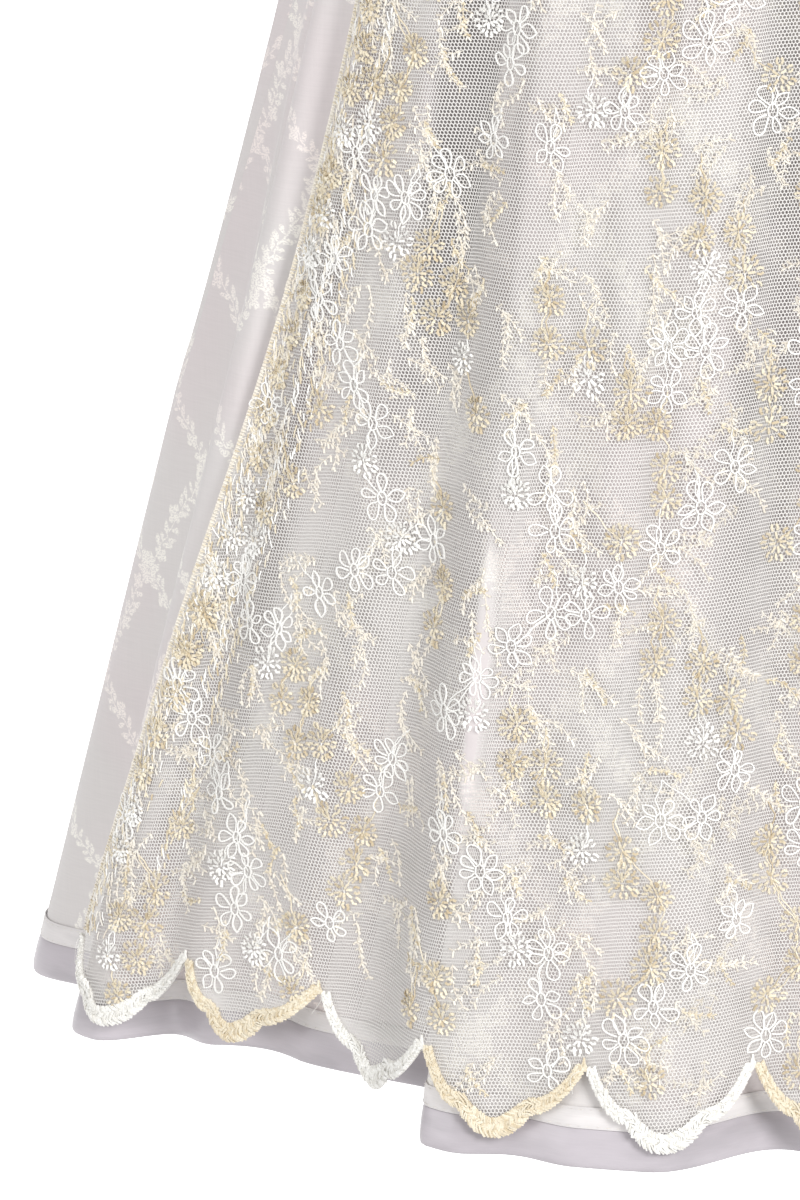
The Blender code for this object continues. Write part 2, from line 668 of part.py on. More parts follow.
def main():
    clear_scene()
    cloth = fabric("skirt_cloth", (0.64, 0.61, 0.61), 0.72)
    satin = fabric("hem_satin", (0.52, 0.49, 0.52), 0.38)
    cream = fabric("cream_ribbon", (0.86, 0.82, 0.72), 0.50)
    lace = fabric("apron_lace", (0.80, 0.77, 0.72), 0.80)
    border = fabric("scallop_thread", (0.84, 0.80, 0.70), 0.60)
    bodice = fabric("bodice_cloth", (0.60, 0.57, 0.58), 0.70)
    ties = fabric("apron_band_satin", (0.84, 0.80, 0.71), 0.42)
    metal = fabric("button_metal", (0.74, 0.72, 0.68), 0.32, 0.9)
    columns = make_skirt(cloth, satin, cream)
    make_apron(columns, lace, border)
    make_bodice(bodice)
    make_closure(bodice, metal)
    make_apron_band(ties)
    make_bow(ties)


main()
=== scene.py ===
"""Looks of a girls' dirndl dress: skirt, hem trims, tulle apron with its flowers, bodice and bow.

Lengths are in metres. Angles round the dress are in degrees from the centre front, and grow
towards -X, the wearer's right. A place on the skirt or apron is a hem angle, which names a thread
of the cloth by where it meets the hem, and a drop below the waist seam.
"""
import math
from collections import namedtuple

import bpy
import numpy as np
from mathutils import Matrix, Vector


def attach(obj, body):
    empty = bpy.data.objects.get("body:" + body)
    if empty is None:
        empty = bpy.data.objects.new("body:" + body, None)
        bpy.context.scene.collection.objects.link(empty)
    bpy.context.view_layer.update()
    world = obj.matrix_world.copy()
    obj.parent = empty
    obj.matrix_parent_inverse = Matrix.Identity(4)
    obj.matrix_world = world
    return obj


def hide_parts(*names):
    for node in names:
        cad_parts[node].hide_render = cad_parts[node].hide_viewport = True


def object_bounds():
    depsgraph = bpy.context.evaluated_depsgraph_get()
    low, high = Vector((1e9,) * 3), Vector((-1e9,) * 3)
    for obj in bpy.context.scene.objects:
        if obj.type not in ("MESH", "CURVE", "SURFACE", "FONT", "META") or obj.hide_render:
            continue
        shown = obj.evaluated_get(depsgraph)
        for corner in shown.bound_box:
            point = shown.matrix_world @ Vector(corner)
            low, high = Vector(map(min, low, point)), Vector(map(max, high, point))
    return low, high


bl_info = {
    "name": "Dirndl dress looks",
    "version": (1, 0, 0),
    "blender": (4, 5, 0),
    "location": "View3D > Sidebar > Dress",
    "description": "Cloths, lace apron, trims and stage of a girls' dirndl dress",
    "category": "Object",
}

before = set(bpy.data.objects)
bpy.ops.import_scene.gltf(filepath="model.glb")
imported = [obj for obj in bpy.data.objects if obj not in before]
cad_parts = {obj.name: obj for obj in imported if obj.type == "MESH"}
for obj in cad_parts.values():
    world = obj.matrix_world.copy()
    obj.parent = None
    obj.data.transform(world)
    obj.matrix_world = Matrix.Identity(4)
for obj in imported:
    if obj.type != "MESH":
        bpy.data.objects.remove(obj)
CAD_LOW, CAD_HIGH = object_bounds()

# Sizes of the cut, as in the construction
SHOULDER_TO_WAIST = 0.300
SKIRT_DROP = 0.560
WAIST_HALF_WIDTH = 0.106
WAIST_HALF_DEPTH = 0.088
HEM_HALF_WIDTH = 0.267
HEM_HALF_DEPTH = 0.212
CHEST_HALF_WIDTH = 0.118
CHEST_HALF_DEPTH = 0.095
CHEST_HEIGHT = 0.165
SHOULDER_HALF_WIDTH = 0.124
BODICE_WALL = 0.0016
SEAM_GAP = 0.0003
HEM_BAND_WIDTH = 0.0135
RIBBON_WIDTH = 0.0075
BELL_SHARE = 0.14
BELL_DROP = 0.028
FRONT_GATHERS = 15
BACK_GATHERS = 23
GATHER_SHARE = 0.15
GATHER_OPENS_IN = 0.012
GATHER_FADES_IN = 0.055
APRON_HEM_ANGLE = 69.0
APRON_WAIST_SHARE = 0.69
APRON_DROP = 0.553
SCALLOPS = 10
SCALLOP_DEPTH = 0.028
APRON_KEEPS_FOLD = 0.55
APRON_KEEPS_LEAN = 0.12
APRON_GAP_AT_WAIST = 0.0009
APRON_GAP_AT_HEM = 0.0026
WAISTBAND_HEIGHT = 0.026
WAISTBAND_LIFT = 0.0005
STRAP_INNER_ANGLE = 31.0
STRAP_OUTER_ANGLE = 60.0
ARMHOLE_SCOOP = 5.0
UNDERARM_YOKE = 0.25
NECK_CURVE = 3.2
SHOULDER_SLOPE = 0.34
FRONT_NECK_YOKE = 0.22
BACK_NECK_YOKE = 0.55
PLACKET_HALF_ANGLE = 4.6
BUTTONS = 5
BUTTON_RADIUS = 0.0055
BUTTON_INSET = 0.014
KNOT_WIDTH = 0.022
KNOT_DEPTH = 0.014
KNOT_HEIGHT = 0.028
BOW_LOOP_LENGTH = 0.068
BOW_LOOP_OPENS = 0.008
BOW_LOOP_SAG = 0.22
BOW_HEIGHT = 0.026
BOW_PINCH = 0.72
TAIL_DROP = 0.300
TAIL_WIDTH = 0.026
TAIL_STANDS_OFF = 0.0065
TAIL_FROM_CENTRE = 0.011
TAIL_SPREAD = 0.16
TAIL_PINCH = 0.66
TAIL_WIDENS_IN = 0.05
TAIL_SLANT = 0.012
TIE_SEAM_ANGLE = 0.2
TIE_END_ANGLE = 176.5
WAIST_Z = -SHOULDER_TO_WAIST

# Cloth thicknesses of the visible pieces, and how far a layer lies off the one under it
SKIRT_CLOTH = 0.0006
RIBBON_CLOTH = 0.0005
NET_CLOTH = 0.00022
BAND_CLOTH = 0.0010
LAYER = 0.0003

Fold = namedtuple("Fold", "at half_width depth lean start rise")

# The folds of the skirt at its hem, as in the construction.
#         at: angle of the valley; half_width: in degrees; depth and lean: in mm, where the lean
#         carries the valley's floor towards smaller angles; start: share of the skirt's drop at
#         which the fold begins; rise: in mm, how far the fold lifts the hem
FOLDS = (
    Fold(at=-3.0, half_width=10.0, depth=25.0, lean=0.0, start=0.00, rise=0.0),
    Fold(at=17.5, half_width=5.0, depth=5.0, lean=0.0, start=0.00, rise=0.0),
    Fold(at=33.0, half_width=8.7, depth=22.0, lean=42.0, start=0.00, rise=0.0),
    Fold(at=44.0, half_width=23.0, depth=33.0, lean=0.0, start=0.30, rise=9.0),
    Fold(at=57.0, half_width=6.0, depth=12.0, lean=-5.0, start=0.00, rise=0.0),
    Fold(at=75.0, half_width=9.5, depth=19.0, lean=4.0, start=0.05, rise=3.0),
    Fold(at=96.0, half_width=10.5, depth=25.0, lean=-6.0, start=0.02, rise=0.0),
    Fold(at=114.0, half_width=8.0, depth=17.0, lean=3.0, start=0.08, rise=2.0),
    Fold(at=131.0, half_width=9.5, depth=28.0, lean=9.0, start=0.00, rise=4.0),
    Fold(at=148.0, half_width=8.0, depth=18.0, lean=-4.0, start=0.06, rise=0.0),
    Fold(at=163.0, half_width=7.5, depth=14.0, lean=0.0, start=0.12, rise=0.0),
    Fold(at=179.0, half_width=9.0, depth=25.0, lean=6.0, start=0.00, rise=3.0),
    Fold(at=195.0, half_width=8.0, depth=17.0, lean=-3.0, start=0.10, rise=0.0),
    Fold(at=212.0, half_width=9.5, depth=27.0, lean=-10.0, start=0.00, rise=4.0),
    Fold(at=229.0, half_width=8.0, depth=16.0, lean=3.0, start=0.08, rise=0.0),
    Fold(at=246.0, half_width=9.5, depth=26.0, lean=8.0, start=0.03, rise=2.0),
    Fold(at=263.0, half_width=8.5, depth=18.0, lean=-4.0, start=0.05, rise=0.0),
    Fold(at=280.0, half_width=9.0, depth=23.0, lean=0.0, start=0.04, rise=3.0),
    Fold(at=296.0, half_width=8.0, depth=17.0, lean=5.0, start=0.00, rise=0.0),
    Fold(at=312.5, half_width=9.5, depth=29.0, lean=-12.0, start=0.00, rise=4.0),
    Fold(at=328.0, half_width=7.0, depth=13.0, lean=0.0, start=0.06, rise=0.0),
    Fold(at=341.5, half_width=7.0, depth=15.0, lean=3.0, start=0.00, rise=0.0),
)
FOLD_GROWTH = 0.75

# Painted shade in the deep creases: where it starts and is full, and the most it darkens the cloth
SHADE_FROM = 0.21
SHADE_FULL = 0.79
PAINTED_CREASE_DARKENING = 0.60

Crease = namedtuple("Crease", "top_at top foot_at foot half_width depth power dark", defaults=(2, 0.0))

# Soft creases of the skirt's cloth between its folds, front first.
#         top_at and foot_at: angles of the crease's two ends; top and foot: their drops in mm;
#         half_width: in degrees; depth: in mm; power: 2 for a soft trough, 4 or 6 for a steep one;
#         dark: how much shade is painted on the cloth in the crease, from 0 to 1
CREASES = (
    Crease(top_at=48.5, top=40, foot_at=59.8, foot=545, half_width=2.0, depth=8.5, power=4),
    Crease(top_at=35.6, top=2, foot_at=39.6, foot=385, half_width=2.9, depth=4.4, power=6, dark=1.0),
    Crease(top_at=35.5, top=290, foot_at=36.5, foot=550, half_width=5.0, depth=-12.0),
    Crease(top_at=11.5, top=60, foot_at=12.0, foot=235, half_width=2.2, depth=8.0, power=4),
    Crease(top_at=-8.0, top=10, foot_at=4.6, foot=548, half_width=4.2, depth=5.0, power=4, dark=0.6),
    Crease(top_at=16.5, top=215, foot_at=17.5, foot=400, half_width=2.2, depth=5.5),
    Crease(top_at=8.5, top=230, foot_at=10.5, foot=420, half_width=2.2, depth=4.0),
    Crease(top_at=25.0, top=300, foot_at=24.0, foot=545, half_width=3.0, depth=-3.5),
    Crease(top_at=37.0, top=385, foot_at=38.5, foot=470, half_width=2.0, depth=4.0),
    Crease(top_at=22.0, top=60, foot_at=20.0, foot=190, half_width=1.8, depth=2.6),
    Crease(top_at=9.0, top=30, foot_at=11.0, foot=150, half_width=1.8, depth=2.4),
    Crease(top_at=-11.0, top=50, foot_at=-13.0, foot=260, half_width=2.4, depth=4.6),
    Crease(top_at=-20.0, top=120, foot_at=-23.5, foot=430, half_width=2.0, depth=3.8),
    Crease(top_at=-33.0, top=5, foot_at=-30.0, foot=370, half_width=4.0, depth=5.0, power=4, dark=0.6),
    Crease(top_at=-36.0, top=230, foot_at=-38.0, foot=500, half_width=2.2, depth=4.2),
    Crease(top_at=-47.0, top=40, foot_at=-58.0, foot=530, half_width=2.2, depth=8.0, power=4),
    Crease(top_at=-62.0, top=150, foot_at=-69.0, foot=480, half_width=2.1, depth=6.3),
    Crease(top_at=67.0, top=90, foot_at=69.0, foot=420, half_width=2.0, depth=6.0),
    Crease(top_at=86.0, top=60, foot_at=86.0, foot=330, half_width=2.4, depth=7.7),
    Crease(top_at=105.0, top=140, foot_at=104.0, foot=520, half_width=2.2, depth=6.6),
    Crease(top_at=123.0, top=40, foot_at=122.0, foot=300, half_width=2.5, depth=8.0),
    Crease(top_at=139.0, top=200, foot_at=140.0, foot=500, half_width=2.0, depth=6.3),
    Crease(top_at=156.0, top=60, foot_at=155.0, foot=360, half_width=2.6, depth=8.4),
    Crease(top_at=170.0, top=160, foot_at=171.0, foot=510, half_width=2.0, depth=6.0),
    Crease(top_at=187.0, top=30, foot_at=187.5, foot=280, half_width=2.4, depth=8.0),
    Crease(top_at=204.0, top=180, foot_at=203.0, foot=520, half_width=2.2, depth=6.6),
    Crease(top_at=221.0, top=70, foot_at=220.0, foot=380, half_width=2.3, depth=7.4),
    Crease(top_at=238.0, top=130, foot_at=238.0, foot=500, half_width=2.0, depth=6.0),
    Crease(top_at=255.0, top=50, foot_at=254.0, foot=310, half_width=2.5, depth=8.0),
    Crease(top_at=272.0, top=190, foot_at=271.0, foot=530, half_width=2.1, depth=6.3),
    Crease(top_at=289.0, top=80, foot_at=288.0, foot=340, half_width=2.2, depth=7.0),
)

# The lace's repeat, row by row down the apron: W a corded flower, w a white blossom, G a gold
# blossom, c a fine cream flower, s a spray of loose stitches, and a dot where the net is bare.
# The motifs run in garlands that cross, with bare diamonds between them.
LACE_CHART = (
    "WsG..sWsG.",
    "sWG.sWws.s",
    ".sWGsW.sGs",
    "..sWws..GG",
    ".sGsWW.sGw",
    "sGG..sWsGW",
    "GGs.s.sWWs",
    "Gws..sGwWs",
    "WWs.sGGs.W",
    "sWWsGGs.sW",
    ".sWGws.sWs",
    "s.GGs.sWs.",
)
LACE_STEP = 0.0130
LACE_TOP = 0.008
LACE_SEAM_ANGLE = 31.0

LaceMotif = namedtuple("LaceMotif", "radius room thread")
MOTIFS = {
    "W": LaceMotif(radius=0.0092, room=0.0061, thread="white"),
    "w": LaceMotif(radius=0.0066, room=0.0050, thread="small_white"),
    "G": LaceMotif(radius=0.0067, room=0.0050, thread="gold"),
    "c": LaceMotif(radius=0.0078, room=0.0056, thread="cream"),
    "s": LaceMotif(radius=0.0084, room=0.0024, thread="cream"),
}

Leaf = namedtuple("Leaf", "x y half_length half_width turn")

# One sprig of the skirt's woven trellis, in mm along and across its line, leaves turned in degrees
SPRIG_LENGTH = 17.3
SPRIG = (
    Leaf(x=-7.2, y=2.2, half_length=2.6, half_width=1.15, turn=38.0),
    Leaf(x=-5.4, y=-2.1, half_length=2.5, half_width=1.05, turn=-42.0),
    Leaf(x=-2.7, y=1.8, half_length=1.9, half_width=0.95, turn=62.0),
    Leaf(x=-0.6, y=-1.9, half_length=1.8, half_width=1.20, turn=20.0),
    Leaf(x=2.6, y=-1.9, half_length=1.7, half_width=1.20, turn=-20.0),
    Leaf(x=1.0, y=0.2, half_length=1.2, half_width=1.6, turn=0.0),
    Leaf(x=1.0, y=-3.6, half_length=1.2, half_width=1.5, turn=0.0),
    Leaf(x=4.4, y=2.3, half_length=2.6, half_width=1.05, turn=44.0),
    Leaf(x=6.8, y=-1.9, half_length=2.3, half_width=1.05, turn=-36.0),
    Leaf(x=7.6, y=1.9, half_length=1.7, half_width=0.95, turn=52.0),
)
TRELLIS_WIDTH = 66.0
TRELLIS_HEIGHT = 80.0
ROSETTE_PETALS = 6
ROSETTE_RADIUS = 3.6


# Shape of the skirt and apron

def as_points(x, y, z):
    return np.stack(np.broadcast_arrays(x, y, z), axis=-1).astype(float)


def unit(vectors):
    length = np.linalg.norm(vectors, axis=-1, keepdims=True)
    return vectors / np.maximum(length, 1e-12)


def swell(x):
    """A smooth hump: 1 at x = 0, falling to 0 at x = -1 and x = 1."""
    return np.where(np.abs(x) < 1.0, 0.5 * (1.0 + np.cos(np.pi * np.clip(x, -1.0, 1.0))), 0.0)


def angle_between(angle, other):
    return (angle - other + 180.0) % 360.0 - 180.0


def flare(drop):
    """Share of the way from the waist's size to the hem's."""
    bell = 1.0 - np.exp(-drop / BELL_DROP)
    return BELL_SHARE * bell + (1.0 - BELL_SHARE) * drop / SKIRT_DROP


def fold_at(angle, drop):
    """Depth, lean and rise of the folds together, in metres."""
    share = drop / SKIRT_DROP
    depth, lean, rise = (np.zeros(np.broadcast(angle, drop).shape) for _ in range(3))
    for fold in FOLDS:
        hump = swell(angle_between(angle, fold.at) / fold.half_width)
        grown = (np.clip(share - fold.start, 0.0, None) / (1.0 - fold.start)) ** FOLD_GROWTH
        depth += 0.001 * fold.depth * grown * hump
        lean += 0.001 * fold.lean * grown * share * hump
        rise += 0.001 * fold.rise * share ** 3 * hump * (share > fold.start)
    return depth, lean, rise


def crease_sum(angle, drop, amount):
    """The creases' depth in mm, or their painted shade, added up where they meet."""
    total = np.zeros(np.broadcast(angle, drop).shape)
    for crease in CREASES:
        along = (1000.0 * drop - crease.top) / (crease.foot - crease.top)
        centre = crease.top_at + (crease.foot_at - crease.top_at) * along
        side = angle_between(angle, centre) / crease.half_width
        window = np.where((along > 0.0) & (along < 1.0), np.sin(np.pi * np.clip(along, 0, 1) ** 0.8), 0.0)
        total += getattr(crease, amount) * window * np.exp(-side ** crease.power)
    return total


def crease_depth(angle, drop):
    """Depth of the soft creases together, in metres."""
    return 0.001 * crease_sum(angle, drop, "depth")


def apron_edge_angle(drop):
    """Angle of the apron's side edge, which spreads from the waist to the hem."""
    share = np.minimum(drop / SKIRT_DROP, 1.0)
    return APRON_HEM_ANGLE * (APRON_WAIST_SHARE + (1.0 - APRON_WAIST_SHARE) * share)


def gather_wave(angle, drop):
    """Outward swing of the small gathers under the waist seam."""
    wrapped = angle_between(angle, 0.0)
    edge = apron_edge_angle(drop)
    round_waist = math.pi * (WAIST_HALF_WIDTH + WAIST_HALF_DEPTH)
    rest = 360.0 - 2.0 * edge
    in_front = np.abs(wrapped) <= edge
    turns = np.where(in_front, FRONT_GATHERS * (wrapped + edge) / (2.0 * edge),
                     BACK_GATHERS * ((wrapped - edge) % 360.0) / rest)
    pitch = round_waist / 360.0 * np.where(in_front, 2.0 * edge / FRONT_GATHERS, rest / BACK_GATHERS)
    opened = 0.4 + 0.6 * np.minimum(1.0, drop / GATHER_OPENS_IN)
    return GATHER_SHARE * pitch * opened * np.exp(-drop / GATHER_FADES_IN) * np.cos(2 * np.pi * turns)


def skirt_surface(angle, drop, keep=1.0, keep_lean=1.0, creased=0.0):
    """The skirt's outer face. An overskirt keeps less of the folds' depth and lean."""
    size = flare(drop)
    half_width = WAIST_HALF_WIDTH + (HEM_HALF_WIDTH - WAIST_HALF_WIDTH) * size
    half_depth = WAIST_HALF_DEPTH + (HEM_HALF_DEPTH - WAIST_HALF_DEPTH) * size
    turn = np.radians(angle)
    out = unit(as_points(-half_depth * np.sin(turn), -half_width * np.cos(turn), 0.0))
    along = as_points(out[..., 1], -out[..., 0], 0.0)
    depth, lean, rise = fold_at(angle, drop)
    inward = keep * depth + creased * crease_depth(angle, drop)
    point = as_points(-half_width * np.sin(turn), -half_depth * np.cos(turn), WAIST_Z - drop)
    point = point + out * (gather_wave(angle, drop) - inward)[..., None]
    point = point - along * (keep_lean * lean)[..., None]
    point[..., 2] += rise
    return point


def creased_skirt(angle, drop):
    return skirt_surface(angle, drop, creased=1.0)


def crease_shade(angle, drop):
    """How much painted shade the deep creases put on a place, from 0 to 1."""
    dark = crease_sum(angle, drop, "dark")
    return np.clip((dark - SHADE_FROM) / (SHADE_FULL - SHADE_FROM), 0.0, 1.0)


def apron_surface(angle, drop):
    return skirt_surface(angle, drop, APRON_KEEPS_FOLD, APRON_KEEPS_LEAN)


def way_out(surface, angle, drop):
    """The surface's outward normal, level at the waist seam."""
    turn, fall = 0.25, 0.0015
    low = np.maximum(0.0, drop - fall)
    across = surface(angle + turn, drop) - surface(angle - turn, drop)
    down = surface(angle, drop + fall) - surface(angle, low)
    normal = unit(np.cross(across, down))
    normal[..., 2] *= np.minimum(1.0, drop / GATHER_OPENS_IN)
    return unit(normal)


def net_surface(angle, drop):
    """The middle of the apron's net, which stands off the skirt more towards the hem."""
    off = APRON_GAP_AT_WAIST + (APRON_GAP_AT_HEM - APRON_GAP_AT_WAIST) * drop / SKIRT_DROP
    off = off + 0.0004
    return apron_surface(angle, drop) + way_out(apron_surface, angle, drop) * off[..., None]


def thread_angle(hem_angle, drop):
    """Follow a thread of the cloth up from its angle at the hem."""
    edge = apron_edge_angle(drop)
    wrapped = angle_between(hem_angle, 0.0)
    beyond = (np.abs(wrapped) - APRON_HEM_ANGLE) / (180.0 - APRON_HEM_ANGLE)
    outside = np.copysign(edge + beyond * (180.0 - edge), wrapped)
    return np.where(np.abs(wrapped) <= APRON_HEM_ANGLE, wrapped * edge / APRON_HEM_ANGLE, outside)


def running_length(points):
    """Length along rows of points, from the first."""
    steps = np.linalg.norm(np.diff(points, axis=-2), axis=-1)
    return np.concatenate([np.zeros(steps.shape[:-1] + (1,)), np.cumsum(steps, axis=-1)], axis=-1)


def even_angles(surface, start, end, count, drop=SKIRT_DROP):
    """Hem angles of count + 1 columns at even runs along a row."""
    fine = np.linspace(start, end, 2400)
    run = running_length(surface(fine, np.full(fine.shape, drop)))
    return np.interp(np.linspace(0.0, run[-1], count + 1), run, fine)


SCALLOP_ENDS = even_angles(apron_surface, -APRON_HEM_ANGLE, APRON_HEM_ANGLE, SCALLOPS)
SCALLOP_FINE = 240
LOBE_START = 0.29
LOBE_END = 0.73
LOBE_HANG = 0.66


def scallop_share(hem_angle):
    """Which scallop a thread ends in, and how far across it."""
    place = np.interp(hem_angle, SCALLOP_ENDS, np.arange(SCALLOPS + 1.0))
    scallop = np.clip(np.floor(place), 0, SCALLOPS - 1)
    return scallop.astype(int), place - scallop


def scallop_drop(hem_angle):
    """Where the apron's lower edge hangs: a deep lobe between two shallow ones in each scallop."""
    share = np.clip(scallop_share(hem_angle)[1], 0.0, 1.0)
    left = LOBE_HANG * np.sin(0.5 * np.pi * np.clip(share / LOBE_START, 0.0, 1.0)) ** 0.85
    right = LOBE_HANG * np.sin(0.5 * np.pi * np.clip((1.0 - share) / (1.0 - LOBE_END), 0.0, 1.0)) ** 0.85
    inside = np.clip((share - LOBE_START) / (LOBE_END - LOBE_START), 0.0, 1.0)
    hang = np.minimum(left, right) + (1.0 - LOBE_HANG) * np.sin(np.pi * inside).clip(0.0) ** 0.72
    return APRON_DROP - SCALLOP_DEPTH * (1.0 - hang)


# Shape of the bodice

def shoulder_height(x):
    """Height of a strap's underside, which is 0 at the middle of the strap."""
    middle = math.radians(0.5 * (STRAP_INNER_ANGLE + STRAP_OUTER_ANGLE))
    inner = SHOULDER_HALF_WIDTH * math.sin(math.radians(STRAP_INNER_ANGLE))
    return -SHOULDER_SLOPE * (np.maximum(np.abs(x), inner) - SHOULDER_HALF_WIDTH * math.sin(middle))


def bodice_surface(angle, height):
    """The bodice's outer face. Above the chest, the share of the yoke is added to the height."""
    turn = np.radians(angle)
    rise = np.minimum(height, CHEST_HEIGHT) / CHEST_HEIGHT
    yoke = np.clip(height - CHEST_HEIGHT, 0.0, 1.0)
    half_width = WAIST_HALF_WIDTH + (CHEST_HALF_WIDTH - WAIST_HALF_WIDTH) * rise
    half_depth = WAIST_HALF_DEPTH + (CHEST_HALF_DEPTH - WAIST_HALF_DEPTH) * rise
    half_width = half_width + (SHOULDER_HALF_WIDTH - CHEST_HALF_WIDTH) * yoke
    x = -half_width * np.sin(turn)
    lean = 0.5 * np.pi * yoke
    chest = WAIST_Z + CHEST_HEIGHT
    top = chest + (shoulder_height(x) + BODICE_WALL - chest) * np.sin(lean)
    z = np.where(height <= CHEST_HEIGHT, WAIST_Z + height, top)
    return as_points(x, -half_depth * np.cos(turn) * np.cos(lean), z)


def bodice_way_out(angle, height):
    across = bodice_surface(angle + 0.2, height) - bodice_surface(angle - 0.2, height)
    low = np.maximum(0.0, height - 0.002)
    high = np.minimum(CHEST_HEIGHT + 1.0, height + 0.002)
    up = bodice_surface(angle, high) - bodice_surface(angle, low)
    return unit(np.cross(up, across))


def armhole_angle(yoke):
    """Angle of the armhole's edge, from the side seam up to the shoulder."""
    scoop = np.maximum(0.0, 1.0 - yoke / UNDERARM_YOKE) ** 2
    curve = ARMHOLE_SCOOP * np.sin(np.pi * yoke)
    return STRAP_OUTER_ANGLE - curve + (90.0 - STRAP_OUTER_ANGLE) * scoop


def neck_angle(yoke, neck_yoke):
    """Angle of the neckline's edge, 0 up to the neckline's lowest point."""
    share = np.clip((yoke - neck_yoke) / (1.0 - neck_yoke), 0.0, 1.0)
    return STRAP_INNER_ANGLE * np.sqrt(1.0 - (1.0 - share) ** NECK_CURVE)


# Making meshes

def mesh_object(name, vertices, faces, uv, material):
    """A mesh object at the origin. uv holds a place for each corner of each face."""
    mesh = bpy.data.meshes.new(name)
    mesh.from_pydata(vertices.tolist(), [], faces)
    layer = mesh.uv_layers.new(name="UVMap")
    layer.data.foreach_set("uv", np.asarray(uv, np.float32).ravel())
    mesh.materials.append(material)
    mesh.shade_smooth()
    mesh.set_sharp_from_angle(angle=math.radians(55.0))
    piece = bpy.data.objects.new(name, mesh)
    bpy.context.scene.collection.objects.link(piece)
    return piece


def signed_volume(vertices, faces):
    a, b, c, d = (vertices[faces[:, k]] for k in range(4))
    first = np.einsum("ij,ij->i", a, np.cross(b, c))
    return float((first + np.einsum("ij,ij->i", a, np.cross(c, d))).sum())


def shell(name, outer, inner, uv, material, keep=None):
    """A closed thin wall between two grids of points, rows by columns, less the quads not kept."""
    rows, columns = outer.shape[:2]
    total = rows * columns
    index = np.arange(total).reshape(rows, columns)
    front = np.stack([index[:-1, :-1], index[:-1, 1:], index[1:, 1:], index[1:, :-1]], -1)
    front = front.reshape(-1, 4) if keep is None else front[keep]
    begin, end = front.reshape(-1), np.roll(front, -1, axis=1).reshape(-1)
    rim = ~np.isin(begin * total + end, end * total + begin)
    begin, end = begin[rim], end[rim]
    edge = np.stack([end, begin, begin + total, end + total], -1)
    faces = np.concatenate([front, front[:, ::-1] + total, edge])
    vertices = np.concatenate([outer.reshape(-1, 3), inner.reshape(-1, 3)])
    if signed_volume(vertices, faces) < 0.0:
        faces = faces[:, ::-1]
    places = np.concatenate([uv.reshape(-1, 2)] * 2)[faces.reshape(-1)]
    return mesh_object(name, vertices, faces.tolist(), places, material)


def laid_out(points, drops, middle):
    """UV places in metres: the run along each row from its middle column, and the drop."""
    run = running_length(points)
    run = run - run[:, middle:middle + 1]
    return np.stack([run, np.broadcast_to(-drops, run.shape)], -1)


def cloth_shell(name, surface, hem_angles, drops, outs, material, worn=None):
    """A thin wall of cloth. Its drops are rows, or rows by columns, and so are its two offsets.

    The last argument gives each place a value, kept as an attribute: the skirt's painted crease shade.
    """
    drop = np.broadcast_to(drops.reshape(len(drops), -1), (len(drops), len(hem_angles)))
    angle = thread_angle(hem_angles[None, :], drop)
    points = surface(angle, drop)
    normals = way_out(surface, angle, drop)
    outer, inner = (points + normals * np.broadcast_to(out, drop.shape)[..., None] for out in outs)
    middle = int(np.argmin(np.abs(angle_between(hem_angles, round(hem_angles.mean() / 180.0) * 180.0))))
    piece = shell(name, outer, inner, laid_out(points, drop, middle), material)
    # Painted shade: the skirt's deep creases are kept here to be painted darker
    if worn is not None:
        layer = piece.data.attributes.new("worn", "FLOAT", "POINT")
        layer.data.foreach_set("value", np.tile(worn(angle, drop).ravel(), 2).astype(np.float32))
    return piece


class ClothMap:
    """A cloth's outer face laid out flat, so that lace keeps its real size on it.

    Across is the run along a row from the centre front, and drop is the fall from the waist.
    """

    def __init__(self, surface, low_angle, high_angle, lowest, columns=900, rows=230):
        self.hem_angles = np.linspace(low_angle, high_angle, columns)
        self.drops = np.linspace(0.0, lowest, rows)
        hem, drop = np.meshgrid(self.hem_angles, self.drops)
        angle = thread_angle(hem, drop)
        points = surface(angle, drop)
        normals = way_out(surface, angle, drop)
        run = running_length(points)
        zero = [np.interp(0.0, self.hem_angles, row) for row in run]
        self.run = run - np.array(zero)[:, None]
        self.low, self.high = self.run[:, 0], self.run[:, -1]
        self.grid = np.empty((rows, columns, 7))
        for r in range(rows):
            wanted = np.linspace(self.low[r], self.high[r], columns)
            for k, values in enumerate((*points[r].T, *normals[r].T, hem[r])):
                self.grid[r, :, k] = np.interp(wanted, self.run[r], values)

    def read(self, across, drop):
        """Points, normals and hem angles at places on the cloth."""
        row = np.clip(drop / self.drops[-1], 0.0, 1.0) * (len(self.drops) - 1.001)
        upper = row.astype(int)
        found = 0.0
        for r, weight in ((upper, 1.0 - row + upper), (upper + 1, row - upper)):
            share = (across - self.low[r]) / (self.high[r] - self.low[r])
            column = np.clip(share, 0.0, 1.0) * (len(self.hem_angles) - 1.001)
            left = column.astype(int)
            part = (column - left)[:, None]
            here = self.grid[r, left] * (1 - part) + self.grid[r, left + 1] * part
            found = found + weight[:, None] * here
        return found[:, :3], unit(found[:, 3:6]), found[:, 6]

    def across(self, hem_angle, drop):
        """How far a thread lies from the centre front at a drop."""
        row = np.clip(np.asarray(drop) / self.drops[-1], 0.0, 1.0) * (len(self.drops) - 1.001)
        upper = int(row)
        values = [np.interp(hem_angle, self.hem_angles, self.run[r]) for r in (upper, upper + 1)]
        return values[0] + (values[1] - values[0]) * (row - upper)


THREAD_TONES = 61


